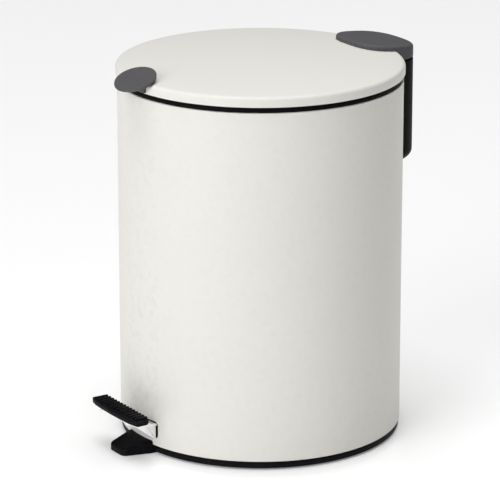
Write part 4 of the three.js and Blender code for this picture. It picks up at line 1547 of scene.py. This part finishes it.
@dataclass
class Pedal:
    """Pressed chrome arm, and the ribbed tread that is screwed on its end."""

    sheet: float = 2.0
    skirt: float = 1.5
    edge: float = 0.42
    tread_bow: float = 1.6
    rib_count: int = 14
    rib_pitch: float = 4.2
    rib_width: float = 2.2
    rib_height: float = 1.4
    rib_edge: float = 0.55
    pocket_depth: float = 1.5
    screw_depth: float = 3.2
    slot_low: float = 12.2
    arm_under: float = 21.8
    arm_fall: float = 0.0621  # slope of the arm inside the body
    neck_side: float = 9.4
    neck_length: float = 16.0
    shoulder: float = 12.0

    def under(self, body: SteelBody) -> list[Point]:
        """Underside of the arm's plate from its front end to the body's wall."""
        wall, front = -body.radius, span("pedal_arm")[0].y
        base = span("pedal_tread")[0].z
        return [
            (front, base - 0.9),
            (wall - 13, base - 1.2),
            (wall - 9.5, base - 2.2),
            (wall - 2, self.arm_under + 0.4),
            (wall + 2.5, self.arm_under),
        ]

    def plate(self, body: SteelBody) -> Solid:
        """Plate of the arm, narrower inside the body."""
        low, high = span("pedal_arm")
        end = high.y
        tail = self.arm_under - (end + body.radius - 2.5) * self.arm_fall
        line = [*self.under(body), (end, tail)]
        over = [(y, z + self.sheet) for y, z in line]
        bends = [0.0, 3.0, 3.0, 2.0, 2.0, 0.0]
        corners = [(y, z, r) for (y, z), r in zip(line, bends)]
        corners += [(y, z, r) for (y, z), r in zip(reversed(over), reversed(bends))]
        half, neck = high.x, span("lever_rivet_3")[1].x + self.neck_side
        turn, front = end - self.neck_length, low.y - 1
        wide = turn - self.shoulder
        plan = [(-neck, end), (-neck, turn), (-half, wide), (-half, front)]
        plan += [(-x, y) for x, y in reversed(plan)]
        plate = Solid.prism(fillet(corners), Plane.SIDE, -half, half)
        return plate.keep(Solid.prism(plan, Plane.LEVEL, 0, 80))

    def skirt_profile(self, body: SteelBody) -> list[Point]:
        """Side of the arm: it hangs deepest at the body's wall and tapers to the front."""
        wall, base = -body.radius, span("pedal_tread")[0].z
        front = span("pedal_arm")[0].y
        upper = [(y, z + 1, 0.0) for y, z in self.under(body)]
        lower = [
            (wall + 2.4, self.slot_low + 0.2, 0.0),
            (wall - 0.8, self.slot_low + 0.8, 0.8),
            (wall - 7, self.slot_low + 5.2, 8.0),
            (wall - 16, base - 4.9, 12.0),
            (front + 2.5, base - 2.6, 3.0),
            (front, base - 2.0, 0.4),
        ]
        return fillet([*upper, *lower])

    def arm(self, body: SteelBody) -> Solid:
        """Pressed arm: plate and two side skirts.

        Args:
            body: The tube that it passes through.

        Returns:
            The arm, with its holes.
        """
        half = span("pedal_arm")[1].x
        arm = self.plate(body)
        gap = body.radius + 0.8
        for low in (-half, half - self.skirt):
            side = Solid.prism(self.skirt_profile(body), Plane.SIDE, low, low + self.skirt)
            side.cut(Solid.drum(gap, -PAST, FAR))
            arm.add(side)
        arm.clean().bevel(self.edge, 3, 45.0)
        for name in ("lever_rivet_1", "lever_rivet_2", "lever_rivet_3", "tread_screw_1", "tread_screw_2"):
            place = middle(name)
            arm.cut(Solid.bar(Plane.LEVEL, (place.x, place.y), SCREW_HOLE, 0, FAR))
        return arm

    def tread(self) -> Solid:
        """Moulded tread with rounded ends, ribs on top and a pocket for the arm."""
        low, high = span("pedal_tread")
        half, deck = high.x, high.z - self.rib_height
        front, back = low.y + self.tread_bow, high.y
        bow = [(x, front - self.tread_bow * (1 - (x / half) ** 2)) for x in range(-24, 25, 4)]
        outline = fillet([
            (half, front + 1.8, 0.0),
            (half, back, 5.0),
            (-half, back, 5.0),
            (-half, front + 1.8, 0.0),
            (-half + 2.2, front + 0.5, 0.0),
            *[(x, y, 0.0) for x, y in bow],
            (half - 2.2, front + 0.5, 0.0),
        ])
        pad = Solid.slab(outline, lambda _x, _y: low.z, lambda _x, _y: deck, 1.0, 0.8)
        first = -(self.rib_count - 1) / 2 * self.rib_pitch
        pad.add(row(self.rib(), self.rib_count, (first, 0, 0), (self.rib_pitch, 0, 0), BLACK))
        arm = span("pedal_arm")[1].x + GAP
        roof = low.z + self.pocket_depth
        pad.cut(Solid.block((-arm, low.y + 1.2, low.z - PAST), (arm, back + PAST, roof)))
        for number in (1, 2):
            place = middle(f"tread_screw_{number}")
            end = low.z + self.screw_depth
            pad.cut(Solid.bar(Plane.LEVEL, (place.x, place.y), SCREW_HOLE, 0, end))
        return pad

    def rib(self) -> Solid:
        """One rounded rib of the tread, across its depth."""
        low, high = span("pedal_tread")
        deck, half = high.z - self.rib_height, self.rib_width / 2
        rib = Solid.block((-half, low.y + 3.4, deck - 0.6), (half, high.y - 0.8, high.z))
        return rib.bevel(self.rib_edge, 3)

    def screws(self) -> Solid:
        """The two screws that hold the tread."""
        return screw_pair("tread_screw_2", 1.5, 2.8, 1.5)

    def build(self, body: SteelBody) -> None:
        """Builds and dresses the arm, the tread and its screws.

        Args:
            body: The tube that the arm passes through.
        """
        self.arm(body).piece("chrome_arm", Rider.PEDAL, CHROME, "pedal_arm")
        self.tread().piece("ribbed_tread", Rider.PEDAL, BLACK, "pedal_tread")
        self.screws().piece("tread_screws", Rider.PEDAL, STEEL, "tread_screw_1", "tread_screw_2")


@dataclass
class Linkage:
    """Inner pieces of the mechanism, from the frame's nodes with their edges broken."""

    edge: float = 0.25
    parts: tuple[tuple[str, Rider, Finish], ...] = (
        ("hinge_pin", Rider.ROOT, STEEL),
        ("pivot_pin", Rider.ROOT, STEEL),
        ("rod_guide_lower", Rider.ROOT, ACETAL),
        ("rod_guide_upper", Rider.ROOT, ACETAL),
        ("hinge_arm", Rider.LID, STEEL),
        ("hinge_bush", Rider.LID, ACETAL),
        ("lift_pin", Rider.LID, STEEL),
        ("pedal_lever", Rider.PEDAL, STEEL),
        ("lever_rivet_1", Rider.PEDAL, STEEL),
        ("lever_rivet_2", Rider.PEDAL, STEEL),
        ("lever_rivet_3", Rider.PEDAL, STEEL),
        ("push_rod", Rider.ROD, STEEL),
        ("rod_shoe", Rider.ROD, ACETAL),
    )

    def build(self) -> None:
        """Builds and dresses each inner piece."""
        for node, rider, finish in self.parts:
            Solid.copy_of(node).bevel(self.edge, 2).piece(f"{node}_finished", rider, finish, node)


# ---- Studio -------------------------------------------------------------------------------------
@dataclass
class Softbox:
    """One soft rectangular light that faces the bin."""

    name: str
    azimuth: float  # degrees, 0 at -Y and 90 at +X
    elevation: float
    distance: float  # metres
    size: Point  # metres
    power: float

    def build(self, target: Vector) -> None:
        """Places the light.

        Args:
            target: Point that it faces.
        """
        data = bpy.data.lights.new(self.name, "AREA")
        data.shape = "RECTANGLE"
        data.size, data.size_y = self.size
        data.energy = self.power
        light = bpy.data.objects.new(self.name, data)
        light.location = target + heading(self.azimuth, self.elevation) * self.distance
        light.rotation_euler = (target - light.location).to_track_quat("-Z", "Y").to_euler()
        bpy.context.scene.collection.objects.link(light)


def heading(azimuth: float, elevation: float) -> Vector:
    """Direction from the bin at an azimuth, 0 at -Y and 90 at +X, and an elevation in degrees."""
    turn, lift = math.radians(azimuth), math.radians(elevation)
    level = math.cos(lift)
    return Vector((level * math.sin(turn), -level * math.cos(turn), math.sin(lift)))


@dataclass
class Studio:
    """Camera, pale floor, surroundings and softboxes."""

    azimuth: float = 57.18
    elevation: float = 17.27
    distance: float = 2.4289
    aim: tuple[float, float, float] = (-0.0044, -0.0060, 0.1316)
    lens: float = 240.8
    floor_size: float = 9.0
    floor_color: Color = (0.90, 0.90, 0.90)
    ambient: float = 0.05
    skylight: float = 2.5
    skylight_spread: float = 50.0  # degrees
    lights: tuple[Softbox, ...] = (
        Softbox("key_left", 18.0, 22.0, 4.0, (2.4, 3.4), 90.0),
        Softbox("rear", 215.0, 40.0, 4.0, (2.4, 2.4), 12.0),
    )

    def camera(self) -> None:
        """Places the camera."""
        data = bpy.data.cameras.new("camera")
        data.lens, data.sensor_width = self.lens, 36.0
        data.clip_end = 50.0
        camera = bpy.data.objects.new("camera", data)
        target = Vector(self.aim)
        camera.location = target + heading(self.azimuth, self.elevation) * self.distance
        camera.rotation_euler = (target - camera.location).to_track_quat("-Z", "Y").to_euler()
        bpy.context.scene.collection.objects.link(camera)
        bpy.context.scene.camera = camera

    def floor(self) -> None:
        """Lays a glossy white floor."""
        mesh = bpy.data.meshes.new("floor")
        half = self.floor_size
        corners = [(-half, -half, 0), (half, -half, 0), (half, half, 0), (-half, half, 0)]
        mesh.from_pydata(corners, [], [(0, 1, 2, 3)])
        shader = Shader("floor")
        cloud = shader.noise(120.0, 2.0)
        mesh.materials.append(shader.close(
            Base_Color=(*self.floor_color, 1.0),
            Roughness=0.16 + cloud * 0.04,
            Specular_IOR_Level=0.4,
            Emission_Color=(1.0, 1.0, 1.0, 1.0),
            Emission_Strength=0.2,
        ))
        floor = bpy.data.objects.new("floor", mesh)
        bpy.context.scene.collection.objects.link(floor)

    def overhead(self) -> None:
        """Hangs a wide even skylight over the floor."""
        data = bpy.data.lights.new("skylight", "SUN")
        data.energy = self.skylight
        data.angle = math.radians(self.skylight_spread)
        light = bpy.data.objects.new("skylight", data)
        bpy.context.scene.collection.objects.link(light)

    def surroundings(self) -> None:
        """Lights the scene evenly from all round."""
        world = bpy.data.worlds.new("studio")
        world.use_nodes = True
        shade = world.node_tree.nodes["Background"]
        shade.inputs["Color"].default_value = (1.0, 1.0, 1.0, 1.0)
        shade.inputs["Strength"].default_value = self.ambient
        bpy.context.scene.world = world
        bpy.context.scene.view_settings.view_transform = "Standard"

    def build(self) -> None:
        """Builds the studio."""
        self.camera()
        self.floor()
        self.surroundings()
        self.overhead()
        for light in self.lights:
            light.build(Vector(self.aim))


def main() -> None:
    """Builds the studio and each sub-assembly."""
    Studio().build()
    body, shape = SteelBody(), RearShape()
    body.build()
    BaseTub().build(body)
    RimRing().build(body)
    Bucket().build()
    Housing().build(body, shape)
    Lid().build(body, shape)
    Pedal().build(body)
    Linkage().build()


if __name__ == "__main__":
    logging.basicConfig(level=logging.INFO, format="%(message)s")
    main()
